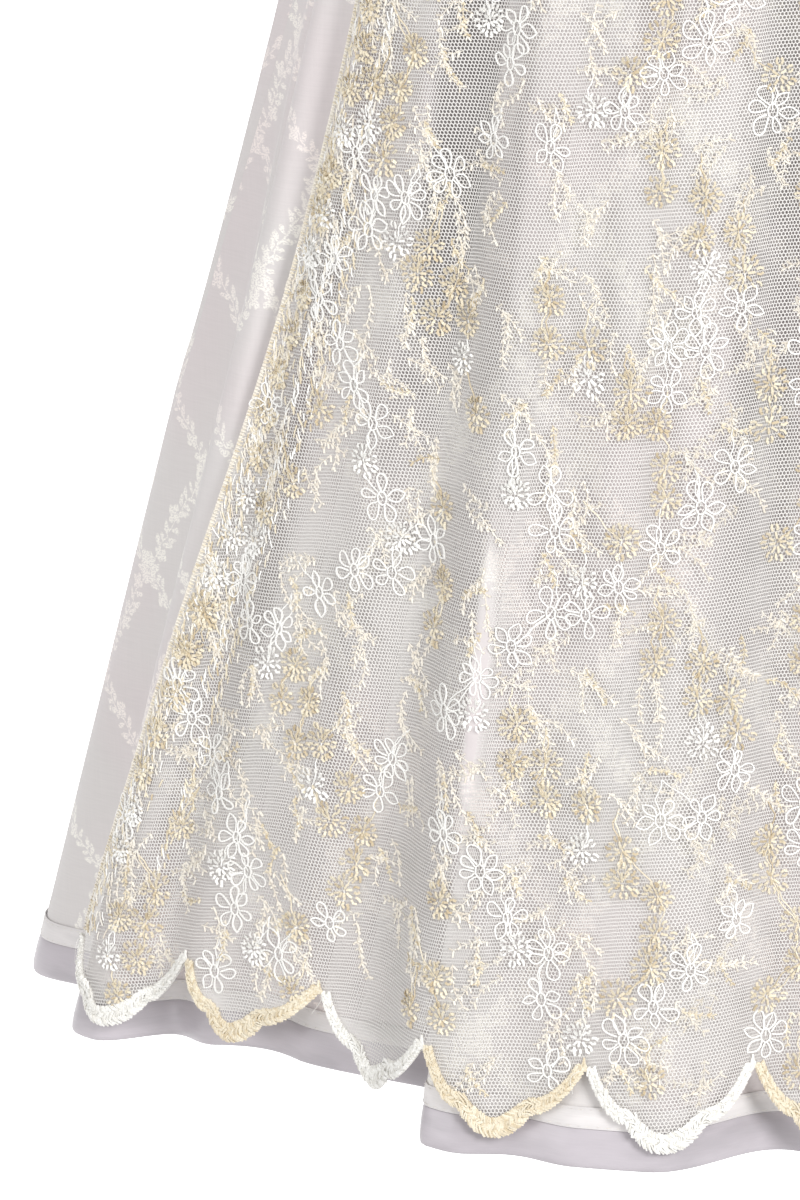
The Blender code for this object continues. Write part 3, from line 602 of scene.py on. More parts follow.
class Threads:
    """Lengths of thread laid on a cloth, kept until they are made into one mesh."""

    def __init__(self):
        self.runs = []

    def lay(self, across, drop, radius, lift, closed=False):
        """Add a thread by its line of places. Lift is the height of its middle above the cloth."""
        lift = np.broadcast_to(lift, np.shape(across))
        self.runs.append((np.asarray(across, float), np.asarray(drop, float), lift, radius, closed))

    def make(self, name, place, material, sides=4):
        """One mesh of all the threads, on the cloth whose points and normals place gives."""
        counts = np.array([len(run[0]) for run in self.runs])
        starts = np.concatenate([[0], np.cumsum(counts)[:-1]])
        across, drop, lift = (np.concatenate([run[k] for run in self.runs]) for k in range(3))
        radius = np.repeat([run[3] for run in self.runs], counts)
        closed = np.repeat([run[4] for run in self.runs], counts)
        first = np.repeat(starts, counts)
        last = first + np.repeat(counts, counts) - 1
        points, normals = place(across, drop)[:2]
        centre = points + normals * lift[:, None]
        index = np.arange(len(centre))
        after = np.where(index == last, np.where(closed, first, index), index + 1)
        before = np.where(index == first, np.where(closed, last, index), index - 1)
        along = unit(centre[after] - centre[before])
        side = unit(np.cross(along, normals))
        up = np.cross(side, along)
        turn = 2.0 * np.pi * (np.arange(sides) + 0.5) / sides
        ring = np.cos(turn)[None, :, None] * side[:, None, :] + np.sin(turn)[None, :, None] * up[:, None, :]
        vertices = (centre[:, None, :] + radius[:, None, None] * ring).reshape(-1, 3)
        begin = index[(index != last) | closed]
        end = after[begin]
        corner = np.arange(sides)
        next_corner = (corner + 1) % sides
        quads = np.stack([begin[:, None] * sides + corner, end[:, None] * sides + corner,
                          end[:, None] * sides + next_corner, begin[:, None] * sides + next_corner], -1)
        length = np.linalg.norm(centre[end] - centre[begin], axis=1)
        travelled = np.concatenate([[0.0], np.cumsum(length)])[:-1]
        low, high = (np.broadcast_to(x[:, None], quads.shape[:2])
                     for x in (travelled, travelled + length))
        number = np.repeat(np.arange(len(counts)) % THREAD_TONES, counts)[begin]
        here = number[:, None] + 0.02 + 0.96 * np.broadcast_to(corner / sides, quads.shape[:2])
        there = here + 0.96 / sides
        corners = ((low, here), (high, here), (high, there), (low, there))
        uv = np.stack([np.stack(pair, -1) for pair in corners], 2)
        open_runs = ~np.array([run[4] for run in self.runs])
        head = starts[open_runs][:, None] * sides + corner
        tail = (starts + counts - 1)[open_runs][:, None] * sides + corner[::-1]
        faces = quads.reshape(-1, 4).tolist() + head.tolist() + tail.tolist()
        caps = np.zeros((2 * len(head) * sides, 2))
        return mesh_object(name, vertices, faces, np.concatenate([uv.reshape(-1, 2), caps]), material)


# Lace motifs, drawn about their middles and laid on the net

def rotated(x, y, turn):
    return x * math.cos(turn) - y * math.sin(turn), x * math.sin(turn) + y * math.cos(turn)


def petal(length, width, point):
    """A petal's outline from its root, along +x. Point is 0 for a round tip and 1 for a sharp one."""
    share = np.linspace(0.03, 0.97, 11)
    round_tip = np.sin(np.pi * share)
    sharp_tip = 1.0 - np.abs(1.0 - 2.0 * share)
    x = length * (round_tip + (sharp_tip - round_tip) * point)
    return x, 0.5 * width * np.sin(2.0 * np.pi * share)


def ring(radius, points=7):
    turn = 2.0 * np.pi * np.arange(points) / points
    return radius * np.cos(turn), radius * np.sin(turn)


def corded_flower(threads, chance, across, drop, radius, cord):
    """Five to seven open petals of one cord, uneven as if drawn by hand, round an oval middle."""
    petals = int(chance.choice([5, 5, 6, 6, 7]))
    first = chance.uniform(0.0, 2.0 * np.pi)
    for k in range(petals):
        way = first + 2.0 * np.pi * (k + chance.uniform(-0.2, 0.2)) / petals
        length = radius * chance.uniform(0.58, 0.84)
        x, y = petal(length, length * chance.uniform(0.48, 0.70), chance.choice([0.0, 0.15, 0.85]))
        y = y + chance.uniform(-0.24, 0.24) * x * x / length
        dx, dy = rotated(x + 0.18 * radius, y, way)
        threads.lay(across + dx, drop + dy, cord * chance.uniform(0.85, 1.1),
                    chance.uniform(0.9, 1.5) * cord)
    x, y = rotated(*ring(0.19 * radius), first)
    threads.lay(across + x, drop + 1.35 * y, cord, 1.5 * cord, closed=True)


def blossom(threads, chance, across, drop, radius, cord):
    """Seven to nine petals of three plump knots each, close round a small open middle."""
    petals = int(chance.integers(7, 10))
    first = chance.uniform(0.0, 2.0 * np.pi)
    for k in range(petals):
        way = first + 2.0 * np.pi * (k + chance.uniform(-0.16, 0.16)) / petals
        reach = radius * chance.uniform(0.82, 1.02)
        for start, length, side in ((0.20, 0.34, 0.0), (0.62, 0.34, -1.0), (0.66, 0.34, 1.0)):
            start += 0.05 * chance.normal(0.0, 1.0)
            x = reach * (start + length * np.array([0.0, 0.5, 1.0]))
            y = side * radius * np.array([0.11, 0.17, 0.10]) + 0.02 * radius * chance.normal(0.0, 1.0)
            dx, dy = rotated(x, y, way)
            threads.lay(across + dx, drop + dy, cord * chance.uniform(1.25, 1.6),
                        cord * np.array([0.8, 2.1, 0.9]))


def cream_flower(threads, chance, across, drop, radius, cord):
    """A flower of fine doubled loops, the inner ones half the size."""
    petals = 5
    first = chance.uniform(0.0, 2.0 * np.pi)
    for k in range(petals):
        way = first + 2.0 * np.pi * (k + chance.uniform(-0.12, 0.12)) / petals
        for size in (0.86, 0.52):
            length = radius * size * chance.uniform(0.9, 1.05)
            x, y = petal(length, 0.66 * length, 0.2)
            dx, dy = rotated(x + 0.1 * radius, y, way)
            threads.lay(across + dx, drop + dy, cord, chance.uniform(0.8, 1.4) * cord)


def spray(threads, chance, across, drop, radius, cord, sprigs=3, leaves=6):
    """Short curved sprigs of fine stitches that cross one another."""
    for _ in range(sprigs):
        way = chance.normal(0.5 * np.pi, 0.9)
        middle = chance.normal(0.0, 0.34 * radius, 2)
        bend = chance.uniform(-0.3, 0.3) * radius
        places = np.linspace(-0.92, 0.92, leaves) + chance.uniform(-0.1, 0.1, leaves)
        line = np.linspace(-1.0, 1.0, 4)
        dx, dy = rotated(0.85 * radius * line, bend * (1.0 - line ** 2), way)
        threads.lay(across + middle[0] + dx, drop + middle[1] + dy, 0.9 * cord, 0.9 * cord)
        for place in places:
            for side in (1.0, -1.0):
                length = radius * chance.uniform(0.15, 0.30)
                turn = chance.uniform(0.3, 1.3)
                x = 0.85 * radius * place + length * np.array([0.1, 1.0]) * math.cos(turn)
                y = bend * (1.0 - place ** 2) + side * length * np.array([0.1, 1.0]) * math.sin(turn)
                dx, dy = rotated(x, y, way)
                threads.lay(across + middle[0] + dx, drop + middle[1] + dy,
                            cord * chance.uniform(1.2, 2.1), cord * np.array([0.7, 1.5]))


def stem(threads, chance, start, end, cord, sway=0.0012, points=7):
    """A wavering cord from one place to another."""
    share = np.linspace(0.0, 1.0, points)
    x = start[0] + (end[0] - start[0]) * share
    y = start[1] + (end[1] - start[1]) * share
    x = x + sway * np.sin(np.pi * share) * chance.uniform(-1.0, 1.0)
    x = x + 0.4 * sway * np.sin(3.0 * np.pi * share + chance.uniform(0.0, 6.0)) * np.sin(np.pi * share)
    threads.lay(x, y, cord, 0.95 * cord)


# Node trees

def put(tree, kind, inputs=(), **settings):
    """Add a node. Its inputs, by place or by name, are values or other nodes' sockets."""
    node = tree.nodes.new("ShaderNode" + kind)
    for name, value in settings.items():
        setattr(node, name, value)
    for key, value in inputs.items() if isinstance(inputs, dict) else enumerate(inputs):
        if isinstance(value, bpy.types.NodeSocket):
            tree.links.new(value, node.inputs[key])
        elif value is not None:
            node.inputs[key].default_value = value
    return node


def calculate(tree, operation, *values):
    return put(tree, "Math", values, operation=operation).outputs[0]


def soft_step(tree, value, start, end, low=0.0, high=1.0):
    """From low to high as the value goes from start to end."""
    inputs = {"Value": value, "From Min": start, "From Max": end, "To Min": low, "To Max": high}
    return put(tree, "MapRange", inputs, interpolation_type="SMOOTHSTEP").outputs[0]


def blend_colours(tree, factor, first, second):
    return put(tree, "Mix", {0: factor, 6: first, 7: second}, data_type="RGBA").outputs[2]


def shade(colour, factor=1.0):
    return (*(min(1.0, part * factor) for part in colour), 1.0)


def noise(tree, vector, scale, detail=2.0):
    return put(tree, "TexNoise", {"Vector": vector, "Scale": scale, "Detail": detail}).outputs[0]


def stretched(tree, vector, scale):
    return put(tree, "Mapping", {"Vector": vector, "Scale": scale}).outputs[0]


def new_group(name, inputs, outputs):
    """A shader node group with named sockets, and its tree's two ends."""
    tree = bpy.data.node_groups.new(name, "ShaderNodeTree")
    for title, kind, default in inputs:
        socket = tree.interface.new_socket(title, in_out="INPUT", socket_type="NodeSocket" + kind)
        if default is not None:
            socket.default_value = default
    for title, kind in outputs:
        tree.interface.new_socket(title, in_out="OUTPUT", socket_type="NodeSocket" + kind)
    return tree, tree.nodes.new("NodeGroupInput").outputs, tree.nodes.new("NodeGroupOutput").inputs


def use_group(tree, name, **inputs):
    node = tree.nodes.new("ShaderNodeGroup")
    node.node_tree = bpy.data.node_groups[name]
    for key, value in inputs.items():
        socket = node.inputs[key.replace("_", " ")]
        if isinstance(value, bpy.types.NodeSocket):
            tree.links.new(value, socket)
        else:
            socket.default_value = value
    return node.outputs


def make_weave_group():
    """Plain weave with slubs: its height and a slight shade."""
    tree, given, result = new_group(
        "Weave", [("Place", "Vector", None), ("Pitch", "Float", 0.0006), ("Slub", "Float", 0.5)],
        [("Height", "Float"), ("Shade", "Float")])
    parts = put(tree, "SeparateXYZ", (given["Place"],)).outputs
    waves = []
    for part in (parts[0], parts[1]):
        turns = calculate(tree, "DIVIDE", part, given["Pitch"])
        waves.append(calculate(tree, "SINE", calculate(tree, "MULTIPLY", turns, 2.0 * math.pi)))
    plain = calculate(tree, "MULTIPLY", waves[0], waves[1])
    slub = noise(tree, stretched(tree, given["Place"], (60.0, 1500.0, 1.0)), 1.0, 3.0)
    warp = noise(tree, stretched(tree, given["Place"], (1300.0, 45.0, 1.0)), 1.0, 2.0)
    uneven = calculate(tree, "ADD", calculate(tree, "MULTIPLY", slub, 0.65),
                       calculate(tree, "MULTIPLY", warp, 0.35))
    lines = calculate(tree, "MULTIPLY", calculate(tree, "SUBTRACT", uneven, 0.5), given["Slub"])
    height = calculate(tree, "MULTIPLY_ADD", plain, 0.25, lines)
    tree.links.new(height, result["Height"])
    tree.links.new(calculate(tree, "MULTIPLY_ADD", lines, 0.35, 1.0), result["Shade"])


def make_twist_group():
    """The slanted plies of a twisted thread, on a thread's own length and side."""
    tree, given, result = new_group(
        "Thread twist", [("Place", "Vector", None), ("Pitch", "Float", 0.0012)], [("Height", "Float")])
    parts = put(tree, "SeparateXYZ", (given["Place"],)).outputs
    turns = calculate(tree, "ADD", calculate(tree, "DIVIDE", parts[0], given["Pitch"]), parts[1])
    wave = calculate(tree, "SINE", calculate(tree, "MULTIPLY", turns, 2.0 * math.pi))
    tree.links.new(wave, result["Height"])


def make_net_group():
    """Hexagonal net: where its threads run, from a place in metres."""
    tree, given, result = new_group(
        "Hexagonal net",
        [("Place", "Vector", None), ("Pitch", "Float", 0.00137), ("Thread", "Float", 0.108)],
        [("Threads", "Float")])
    slant = (0.0, 0.0, math.radians(4.0))
    turned = put(tree, "Mapping", {"Vector": given["Place"], "Rotation": slant}).outputs[0]
    scaled = put(tree, "VectorMath", {0: turned, 3: calculate(tree, "DIVIDE", 1.0, given["Pitch"])},
                 operation="SCALE").outputs[0]
    cell = (1.0, math.sqrt(3.0), 1.0)
    half = (0.5, 0.5 * math.sqrt(3.0), 0.5)
    distances = []
    for shift in ((0.0, 0.0, 0.0), half):
        moved = put(tree, "VectorMath", (scaled, shift), operation="ADD").outputs[0]
        wrapped = put(tree, "VectorMath", (moved, cell, (0.0, 0.0, 0.0)), operation="WRAP").outputs[0]
        local = put(tree, "VectorMath", (wrapped, half), operation="SUBTRACT").outputs[0]
        size = put(tree, "VectorMath", (local,), operation="ABSOLUTE").outputs[0]
        parts = put(tree, "SeparateXYZ", (size,)).outputs
        slanted = calculate(tree, "MULTIPLY_ADD", parts[1], 0.8660254,
                            calculate(tree, "MULTIPLY", parts[0], 0.5))
        distances.append(calculate(tree, "MAXIMUM", parts[0], slanted))
    nearest = calculate(tree, "MINIMUM", *distances)
    edge = calculate(tree, "SUBTRACT", 0.5, given["Thread"])
    tree.links.new(soft_step(tree, nearest, calculate(tree, "SUBTRACT", edge, 0.05),
                             calculate(tree, "ADD", edge, 0.05)), result["Threads"])


def leaf_masks(tree, vector, leaves):
    """The greatest of the masks of some leaves, each an ellipse."""
    mask = None
    for leaf in leaves:
        inputs = {"Vector": vector, "Location": (leaf.x, leaf.y, 0.0),
                  "Rotation": (0.0, 0.0, math.radians(leaf.turn)),
                  "Scale": (leaf.half_length, leaf.half_width, 1.0)}
        local = put(tree, "Mapping", inputs, vector_type="TEXTURE").outputs[0]
        length = put(tree, "VectorMath", (local,), operation="LENGTH").outputs["Value"]
        inside = soft_step(tree, length, 1.25, 0.75)
        mask = inside if mask is None else calculate(tree, "MAXIMUM", mask, inside)
    return mask


def make_sprig_group():
    """One line of the woven trellis: sprigs set along it, every other one turned over."""
    tree, given, result = new_group("Sprig line", [("Along", "Float", 0.0), ("Across", "Float", 0.0)],
                                    [("Mask", "Float")])
    turns = calculate(tree, "DIVIDE", given["Along"], SPRIG_LENGTH)
    whole = calculate(tree, "FLOOR", turns)
    local = calculate(tree, "MULTIPLY", calculate(tree, "SUBTRACT", turns, whole), SPRIG_LENGTH)
    local = calculate(tree, "SUBTRACT", local, 0.5 * SPRIG_LENGTH)
    odd = calculate(tree, "PINGPONG", whole, 1.0)
    side = calculate(tree, "MULTIPLY_ADD", odd, -2.0, 1.0)
    across = calculate(tree, "MULTIPLY", given["Across"], side)
    wave = calculate(tree, "SINE", calculate(tree, "MULTIPLY", local, 2.0 * math.pi / SPRIG_LENGTH))
    off_stem = calculate(tree, "ABSOLUTE", calculate(tree, "MULTIPLY_ADD", wave, -0.6, across))
    vector = put(tree, "CombineXYZ", (local, across, 0.0)).outputs[0]
    leaves = leaf_masks(tree, vector, SPRIG)
    mask = calculate(tree, "MAXIMUM", leaves, soft_step(tree, off_stem, 0.5, 0.15))
    tree.links.new(mask, result["Mask"])


def make_trellis_group():
    """The skirt's woven trellis: diamonds of sprig lines, with a rosette where they cross."""
    tree, given, result = new_group("Trellis", [("Place", "Vector", None)], [("Mask", "Float")])
    in_mm = put(tree, "VectorMath", {0: given["Place"], 3: 1000.0}, operation="SCALE").outputs[0]
    for scale, reach in ((0.03, 9.0), (0.45, 2.2)):
        drift = put(tree, "TexNoise", {"Vector": in_mm, "Scale": scale, "Detail": 1.0}).outputs["Color"]
        centred = put(tree, "VectorMath", (drift, (0.5, 0.5, 0.5)), operation="SUBTRACT").outputs[0]
        moved = put(tree, "VectorMath", {0: centred, 3: reach}, operation="SCALE").outputs[0]
        in_mm = put(tree, "VectorMath", (in_mm, moved), operation="ADD").outputs[0]
    parts = put(tree, "SeparateXYZ", (in_mm,)).outputs
    slope = math.hypot(1.0 / TRELLIS_WIDTH, 1.0 / TRELLIS_HEIGHT)
    offsets, masks = [], []
    for sign in (1.0, -1.0):
        level = calculate(tree, "MULTIPLY_ADD", parts[0], 1.0 / TRELLIS_WIDTH,
                          calculate(tree, "MULTIPLY", parts[1], sign / TRELLIS_HEIGHT))
        offset = calculate(tree, "SUBTRACT", level, calculate(tree, "ROUND", level))
        along = calculate(tree, "MULTIPLY_ADD", parts[0], -sign / TRELLIS_HEIGHT / slope,
                          calculate(tree, "MULTIPLY", parts[1], 1.0 / TRELLIS_WIDTH / slope))
        across = calculate(tree, "DIVIDE", offset, slope)
        masks.append(use_group(tree, "Sprig line", Along=along, Across=across)["Mask"])
        offsets.append(offset)
    x = calculate(tree, "MULTIPLY", calculate(tree, "ADD", *offsets), 0.5 * TRELLIS_WIDTH)
    y = calculate(tree, "MULTIPLY", calculate(tree, "SUBTRACT", *offsets), 0.5 * TRELLIS_HEIGHT)
    turns = [360.0 * k / ROSETTE_PETALS for k in range(ROSETTE_PETALS)]
    petals = [Leaf(ROSETTE_RADIUS * math.cos(math.radians(turn)),
                   ROSETTE_RADIUS * math.sin(math.radians(turn)), 2.3, 1.4, turn) for turn in turns]
    rosette = leaf_masks(tree, put(tree, "CombineXYZ", (x, y, 0.0)).outputs[0], petals)
    mask = calculate(tree, "MAXIMUM", calculate(tree, "MAXIMUM", *masks), rosette)
    tree.links.new(mask, result["Mask"])


def new_surface(name, roughness, sheen=0.0, metallic=0.0, coat=0.0):
    """A Principled material: the tree, its shader and the piece's own UV place."""
    material = bpy.data.materials.new(name)
    material.use_nodes = True
    tree = material.node_tree
    shader = tree.nodes["Principled BSDF"]
    shader.inputs["Roughness"].default_value = roughness
    shader.inputs["Metallic"].default_value = metallic
    shader.inputs["Sheen Weight"].default_value = sheen
    shader.inputs["Sheen Roughness"].default_value = 0.4
    shader.inputs["Coat Weight"].default_value = coat
    place = put(tree, "UVMap", uv_map="UVMap").outputs[0]
    return material, tree, shader, place


def bump(tree, shader, height, strength, distance):
    node = put(tree, "Bump", {"Strength": strength, "Distance": distance, "Height": height})
    tree.links.new(node.outputs[0], shader.inputs["Normal"])


def skirt_material(colours):
    """Silky cloth with a soft cream and rose woven trellis, and painted shade in its deep creases."""
    material, tree, shader, place = new_surface("skirt cloth", 0.56, sheen=0.25)
    weave = use_group(tree, "Weave", Place=place, Pitch=0.0007, Slub=0.5)
    mask = use_group(tree, "Trellis", Place=place)["Mask"]
    grain = noise(tree, stretched(tree, place, (1100.0, 1900.0, 1.0)), 1.0, 2.0)
    broken = calculate(tree, "MULTIPLY", mask, soft_step(tree, grain, 0.36, 0.58, 0.08, 1.0))
    patches_noise = noise(tree, place, 12.0)
    patches = soft_step(tree, patches_noise, 0.42, 0.62)
    figure = blend_colours(tree, patches, shade(colours.trellis_cream), shade(colours.trellis_rose))
    cloud = noise(tree, place, 7.0, 1.0)
    tone = calculate(tree, "MULTIPLY", weave["Shade"], soft_step(tree, cloud, 0.3, 0.7, 0.985, 1.015))
    tint = soft_step(tree, patches_noise, 0.35, 0.65)
    mixed = blend_colours(tree, tint, shade(colours.skirt), shade(colours.skirt_rose))
    ground = put(tree, "VectorMath", {0: mixed, 3: tone}, operation="SCALE").outputs[0]
    # Painted shade: the cloth is painted darker in the skirt's deep creases
    worn = put(tree, "Attribute", attribute_name="worn").outputs["Fac"]
    painted_darkening = calculate(tree, "MULTIPLY_ADD", worn, -PAINTED_CREASE_DARKENING, 1.0)
    cloth = blend_colours(tree, broken, ground, figure)
    shaded = put(tree, "VectorMath", {0: cloth, 3: painted_darkening}, operation="SCALE").outputs[0]
    tree.links.new(shaded, shader.inputs["Base Color"])
    bump(tree, shader, weave["Height"], 0.35, 0.00012)
    return material


def plain_cloth_material(name, colour, roughness, sheen, slub=0.5):
    material, tree, shader, place = new_surface(name, roughness, sheen=sheen)
    weave = use_group(tree, "Weave", Place=place, Pitch=0.0007, Slub=slub)
    ground = put(tree, "VectorMath", {0: colour, 3: weave["Shade"]}, operation="SCALE").outputs[0]
    tree.links.new(ground, shader.inputs["Base Color"])
    bump(tree, shader, weave["Height"], 0.35, 0.00012)
    return material


def satin_material(name, colour, roughness):
    """Satin: fine ribs along its length, and gloss that wanders."""
    material, tree, shader, place = new_surface(name, roughness, sheen=0.15, coat=0.08)
    streaks = noise(tree, stretched(tree, place, (120.0, 2600.0, 1.0)), 1.0, 2.0)
    clouds = noise(tree, stretched(tree, place, (26.0, 90.0, 1.0)), 1.0, 3.0)
    tone = calculate(tree, "ADD", soft_step(tree, streaks, 0.3, 0.7, 0.96, 1.0),
                     soft_step(tree, clouds, 0.35, 0.65, -0.09, 0.10))
    ground = put(tree, "VectorMath", {0: colour, 3: tone}, operation="SCALE").outputs[0]
    tree.links.new(ground, shader.inputs["Base Color"])
    tree.links.new(soft_step(tree, clouds, 0.3, 0.7, roughness - 0.05, roughness + 0.08),
                   shader.inputs["Roughness"])
    bump(tree, shader, streaks, 0.25, 0.00010)
    return material


def net_material(sizes, colours):
    """Tulle: fine threads round open cells."""
    material, tree, shader, place = new_surface("apron net", 0.62, sheen=0.2)
    cells = use_group(tree, "Hexagonal net", Place=place, Pitch=sizes.net_pitch, Thread=sizes.net_thread)
    shader.inputs["Base Color"].default_value = shade(colours.net)
    tree.links.new(calculate(tree, "MULTIPLY", cells["Threads"], 0.92), shader.inputs["Alpha"])
    return material


def thread_material(name, colour, tint, roughness=0.38):
    """Rayon thread: slanted plies, and a tint that changes from stitch to stitch."""
    material, tree, shader, place = new_surface(name, roughness, sheen=0.3)
    twist = use_group(tree, "Thread twist", Place=place, Pitch=0.0011)["Height"]
    number = calculate(tree, "FLOOR", put(tree, "SeparateXYZ", (place,)).outputs[1])
    change = put(tree, "TexWhiteNoise", {"W": number}, noise_dimensions="1D").outputs["Value"]
    spot = put(tree, "TexCoord").outputs["Object"]
    drift = soft_step(tree, noise(tree, spot, 35.0, 1.0), 0.35, 0.65, 0.0, 0.35)
    mixed = calculate(tree, "MAXIMUM", calculate(tree, "POWER", change, 1.6), drift)
    tree.links.new(blend_colours(tree, mixed, shade(colour), shade(tint)), shader.inputs["Base Color"])
    bump(tree, shader, twist, 0.5, 0.00012)
    return material


def metal_material(colour):
    material, tree, shader, _ = new_surface("button metal", 0.34, metallic=1.0)
    spot = put(tree, "TexCoord").outputs["Object"]
    # Wear: the metal is rubbed darker and rougher at random spots
    worn = noise(tree, spot, 900.0, 3.0)
    rubbed = blend_colours(tree, worn, shade(colour, 0.82), shade(colour))
    tree.links.new(rubbed, shader.inputs["Base Color"])
    tree.links.new(soft_step(tree, worn, 0.3, 0.7, 0.26, 0.46), shader.inputs["Roughness"])
    bump(tree, shader, worn, 0.25, 0.00010)
    return material


def finish_piece(piece, slot, *nodes):
    """Set a piece on the frame and hide the nodes it stands for. The slot is not used."""
    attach(piece, "root")
    if nodes:
        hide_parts(*nodes)
    return piece


# What a user would change

class DressSizes(bpy.types.PropertyGroup):
    net_pitch: bpy.props.FloatProperty(
        name="Net pitch", description="Distance between the net's cells",
        default=0.00137, unit="LENGTH")
    net_thread: bpy.props.FloatProperty(
        name="Net thread", description="Half a net thread's share of a cell",
        default=0.108, subtype="FACTOR")
    cord: bpy.props.FloatProperty(
        name="Cord", description="Radius of the cord of the outlined flowers",
        default=0.00037, unit="LENGTH")
    fine_thread: bpy.props.FloatProperty(
        name="Fine thread", description="Radius of the thread of the sprays",
        default=0.00023, unit="LENGTH")
    border: bpy.props.FloatProperty(
        name="Border", description="Width of the scallops' satin stitch at its widest",
        default=0.0070, unit="LENGTH")
    border_pitch: bpy.props.FloatProperty(
        name="Border pitch", description="Distance between two stitches of the border",
        default=0.00095, unit="LENGTH")


def colour_property(name, description, default):
    return bpy.props.FloatVectorProperty(
        name=name, description=description, subtype="COLOR", default=default)


class DressColours(bpy.types.PropertyGroup):
    skirt: colour_property("Skirt", "Ground of the skirt's cloth", (0.645, 0.615, 0.605))
    skirt_rose: colour_property("Skirt rose", "Warmer patches of the ground", (0.655, 0.600, 0.602))
    trellis_cream: colour_property("Trellis cream", "Cream figure of the skirt's cloth", (0.90, 0.87, 0.81))
    trellis_rose: colour_property("Trellis rose", "Rose figure of the skirt's cloth", (0.88, 0.80, 0.77))
    satin: colour_property("Satin", "Hem satin", (0.47, 0.435, 0.465))
    ribbon: colour_property("Ribbon", "Ribbon over the hem", (0.70, 0.67, 0.665))
    net: colour_property("Net", "Apron's tulle", (0.785, 0.765, 0.74))
    white_thread: colour_property("White thread", "Corded flowers", (0.93, 0.92, 0.89))
    gold_thread: colour_property("Gold thread", "Gold blossoms", (0.86, 0.79, 0.63))
    deep_gold: colour_property("Deep gold", "Shaded stitches of the gold blossoms", (0.54, 0.43, 0.27))
    cream_thread: colour_property("Cream thread", "Sprays and fine flowers", (0.86, 0.82, 0.74))
    band: colour_property("Band", "Apron's band, ties and bow", (0.77, 0.73, 0.65))
    bodice: colour_property("Bodice", "Bodice cloth", (0.60, 0.57, 0.585))
    metal: colour_property("Metal", "Buttons", (0.64, 0.62, 0.59))


# Pieces, an operator for each group

class DRESS_OT_stage(bpy.types.Operator):
    """Pale floor, soft studio light and the camera"""
    bl_idname = "dress.stage"
    bl_label = "Stage and camera"

    def execute(self, context):
        add_floor()
        add_lights(context)
        add_camera(context)
        return {"FINISHED"}


FLOOR_DROP = 0.30
CAMERA_PLACE = (0.0, -2.295, -0.0177)
CAMERA_AIM = (-0.1296, 0.0, -0.7194)
CAMERA_LENS = 194.7
CAMERA_SENSOR = 36.0

WORLD_LIGHT = 0.675

Lamp = namedtuple("Lamp", "name place size power")
LAMPS = (
    Lamp(name="key", place=(1.9, -2.9, 1.5), size=1.5, power=105.0),
    Lamp(name="fill", place=(-2.6, -2.0, 0.4), size=2.2, power=31.0),
    Lamp(name="back", place=(2.3, 2.2, 1.2), size=1.5, power=46.0),
)


def add_floor():
    bpy.ops.object.select_all(action="DESELECT")
    bpy.ops.mesh.primitive_plane_add(size=60.0, location=(0.0, 0.0, CAD_LOW.z - FLOOR_DROP))
    floor = bpy.context.object
    floor.name = "floor"
    material, tree, shader, _ = new_surface("floor", 0.9)
    shader.inputs["Base Color"].default_value = (0.90, 0.90, 0.90, 1.0)
    shader.inputs["Emission Color"].default_value = (1.0, 1.0, 1.0, 1.0)
    shader.inputs["Emission Strength"].default_value = 0.85
    material.cycles.emission_sampling = "NONE"
    floor.visible_diffuse = False
    floor.data.materials.append(material)


def aim(item, place):
    way = Vector(place) - item.location
    item.rotation_euler = way.to_track_quat("-Z", "Y").to_euler()


def add_lights(context):
    middle = (CAD_LOW + CAD_HIGH) / 2
    for lamp in LAMPS:
        bpy.ops.object.light_add(type="AREA", location=middle + Vector(lamp.place))
        light = context.object
        light.name = "light_" + lamp.name
        light.data.shape = "DISK"
        light.data.size = lamp.size
        light.data.energy = lamp.power
        aim(light, middle)
    world = bpy.data.worlds.new("studio")
    world.use_nodes = True
    background = world.node_tree.nodes["Background"]
    background.inputs["Color"].default_value = (1.0, 1.0, 1.0, 1.0)
    seen = put(world.node_tree, "LightPath").outputs["Is Camera Ray"]
    strength = calculate(world.node_tree, "MULTIPLY_ADD", seen, 1.0 - WORLD_LIGHT, WORLD_LIGHT)
    world.node_tree.links.new(strength, background.inputs["Strength"])
    context.scene.world = world
    context.scene.view_settings.view_transform = "Standard"


def add_camera(context):
    bpy.ops.object.camera_add(location=CAMERA_PLACE)
    camera = context.object
    camera.name = "camera"
    camera.data.lens = CAMERA_LENS
    camera.data.sensor_width = CAMERA_SENSOR
    aim(camera, CAMERA_AIM)
    context.scene.camera = camera


FRONT_COLUMNS = 405
BACK_COLUMNS = 310
SEAM_INSET = 0.003
BAND_TOP = SKIRT_DROP - HEM_BAND_WIDTH


def panel_angles(side, count):
    """Hem angles of the columns of the front or back of the skirt."""
    start, end = (-90.0, 90.0) if side == "front" else (90.0, 270.0)
    return even_angles(skirt_surface, start + SEAM_INSET, end - SEAM_INSET, count)


def skirt_drops():
    """Rows of the skirt, closest together under the gathers."""
    share = np.linspace(0.0, 1.0, 64)
    return SEAM_GAP / 2 + (BAND_TOP - SEAM_GAP) * share ** 1.35


def declare_panel(surface, hem_angles):
    """Measure a panel cut wide at the hem and narrower at the top, where it is gathered; the runs are not
    kept.
    """
    runs = [running_length(surface(thread_angle(hem_angles, np.full(hem_angles.shape, drop)),
                                   np.full(hem_angles.shape, drop)))[-1] for drop in (0.002, SKIRT_DROP)]


class DRESS_OT_skirt(bpy.types.Operator):
    """Front and back of the skirt: folds, gathers, creases with painted shade, and woven trellis"""
    bl_idname = "dress.skirt"
    bl_label = "Skirt"

    def execute(self, context):
        cloth = skirt_material(context.scene.dress_colours)
        for side, count in (("front", FRONT_COLUMNS), ("back", BACK_COLUMNS)):
            angles = panel_angles(side, count)
            piece = cloth_shell("skirt_%s_cloth" % side, creased_skirt, angles, skirt_drops(),
                                (0.0, -SKIRT_CLOTH), cloth, crease_shade)
            finish_piece(piece, "skirt_cloth", "skirt_" + side)
            declare_panel(skirt_surface, angles)
        return {"FINISHED"}


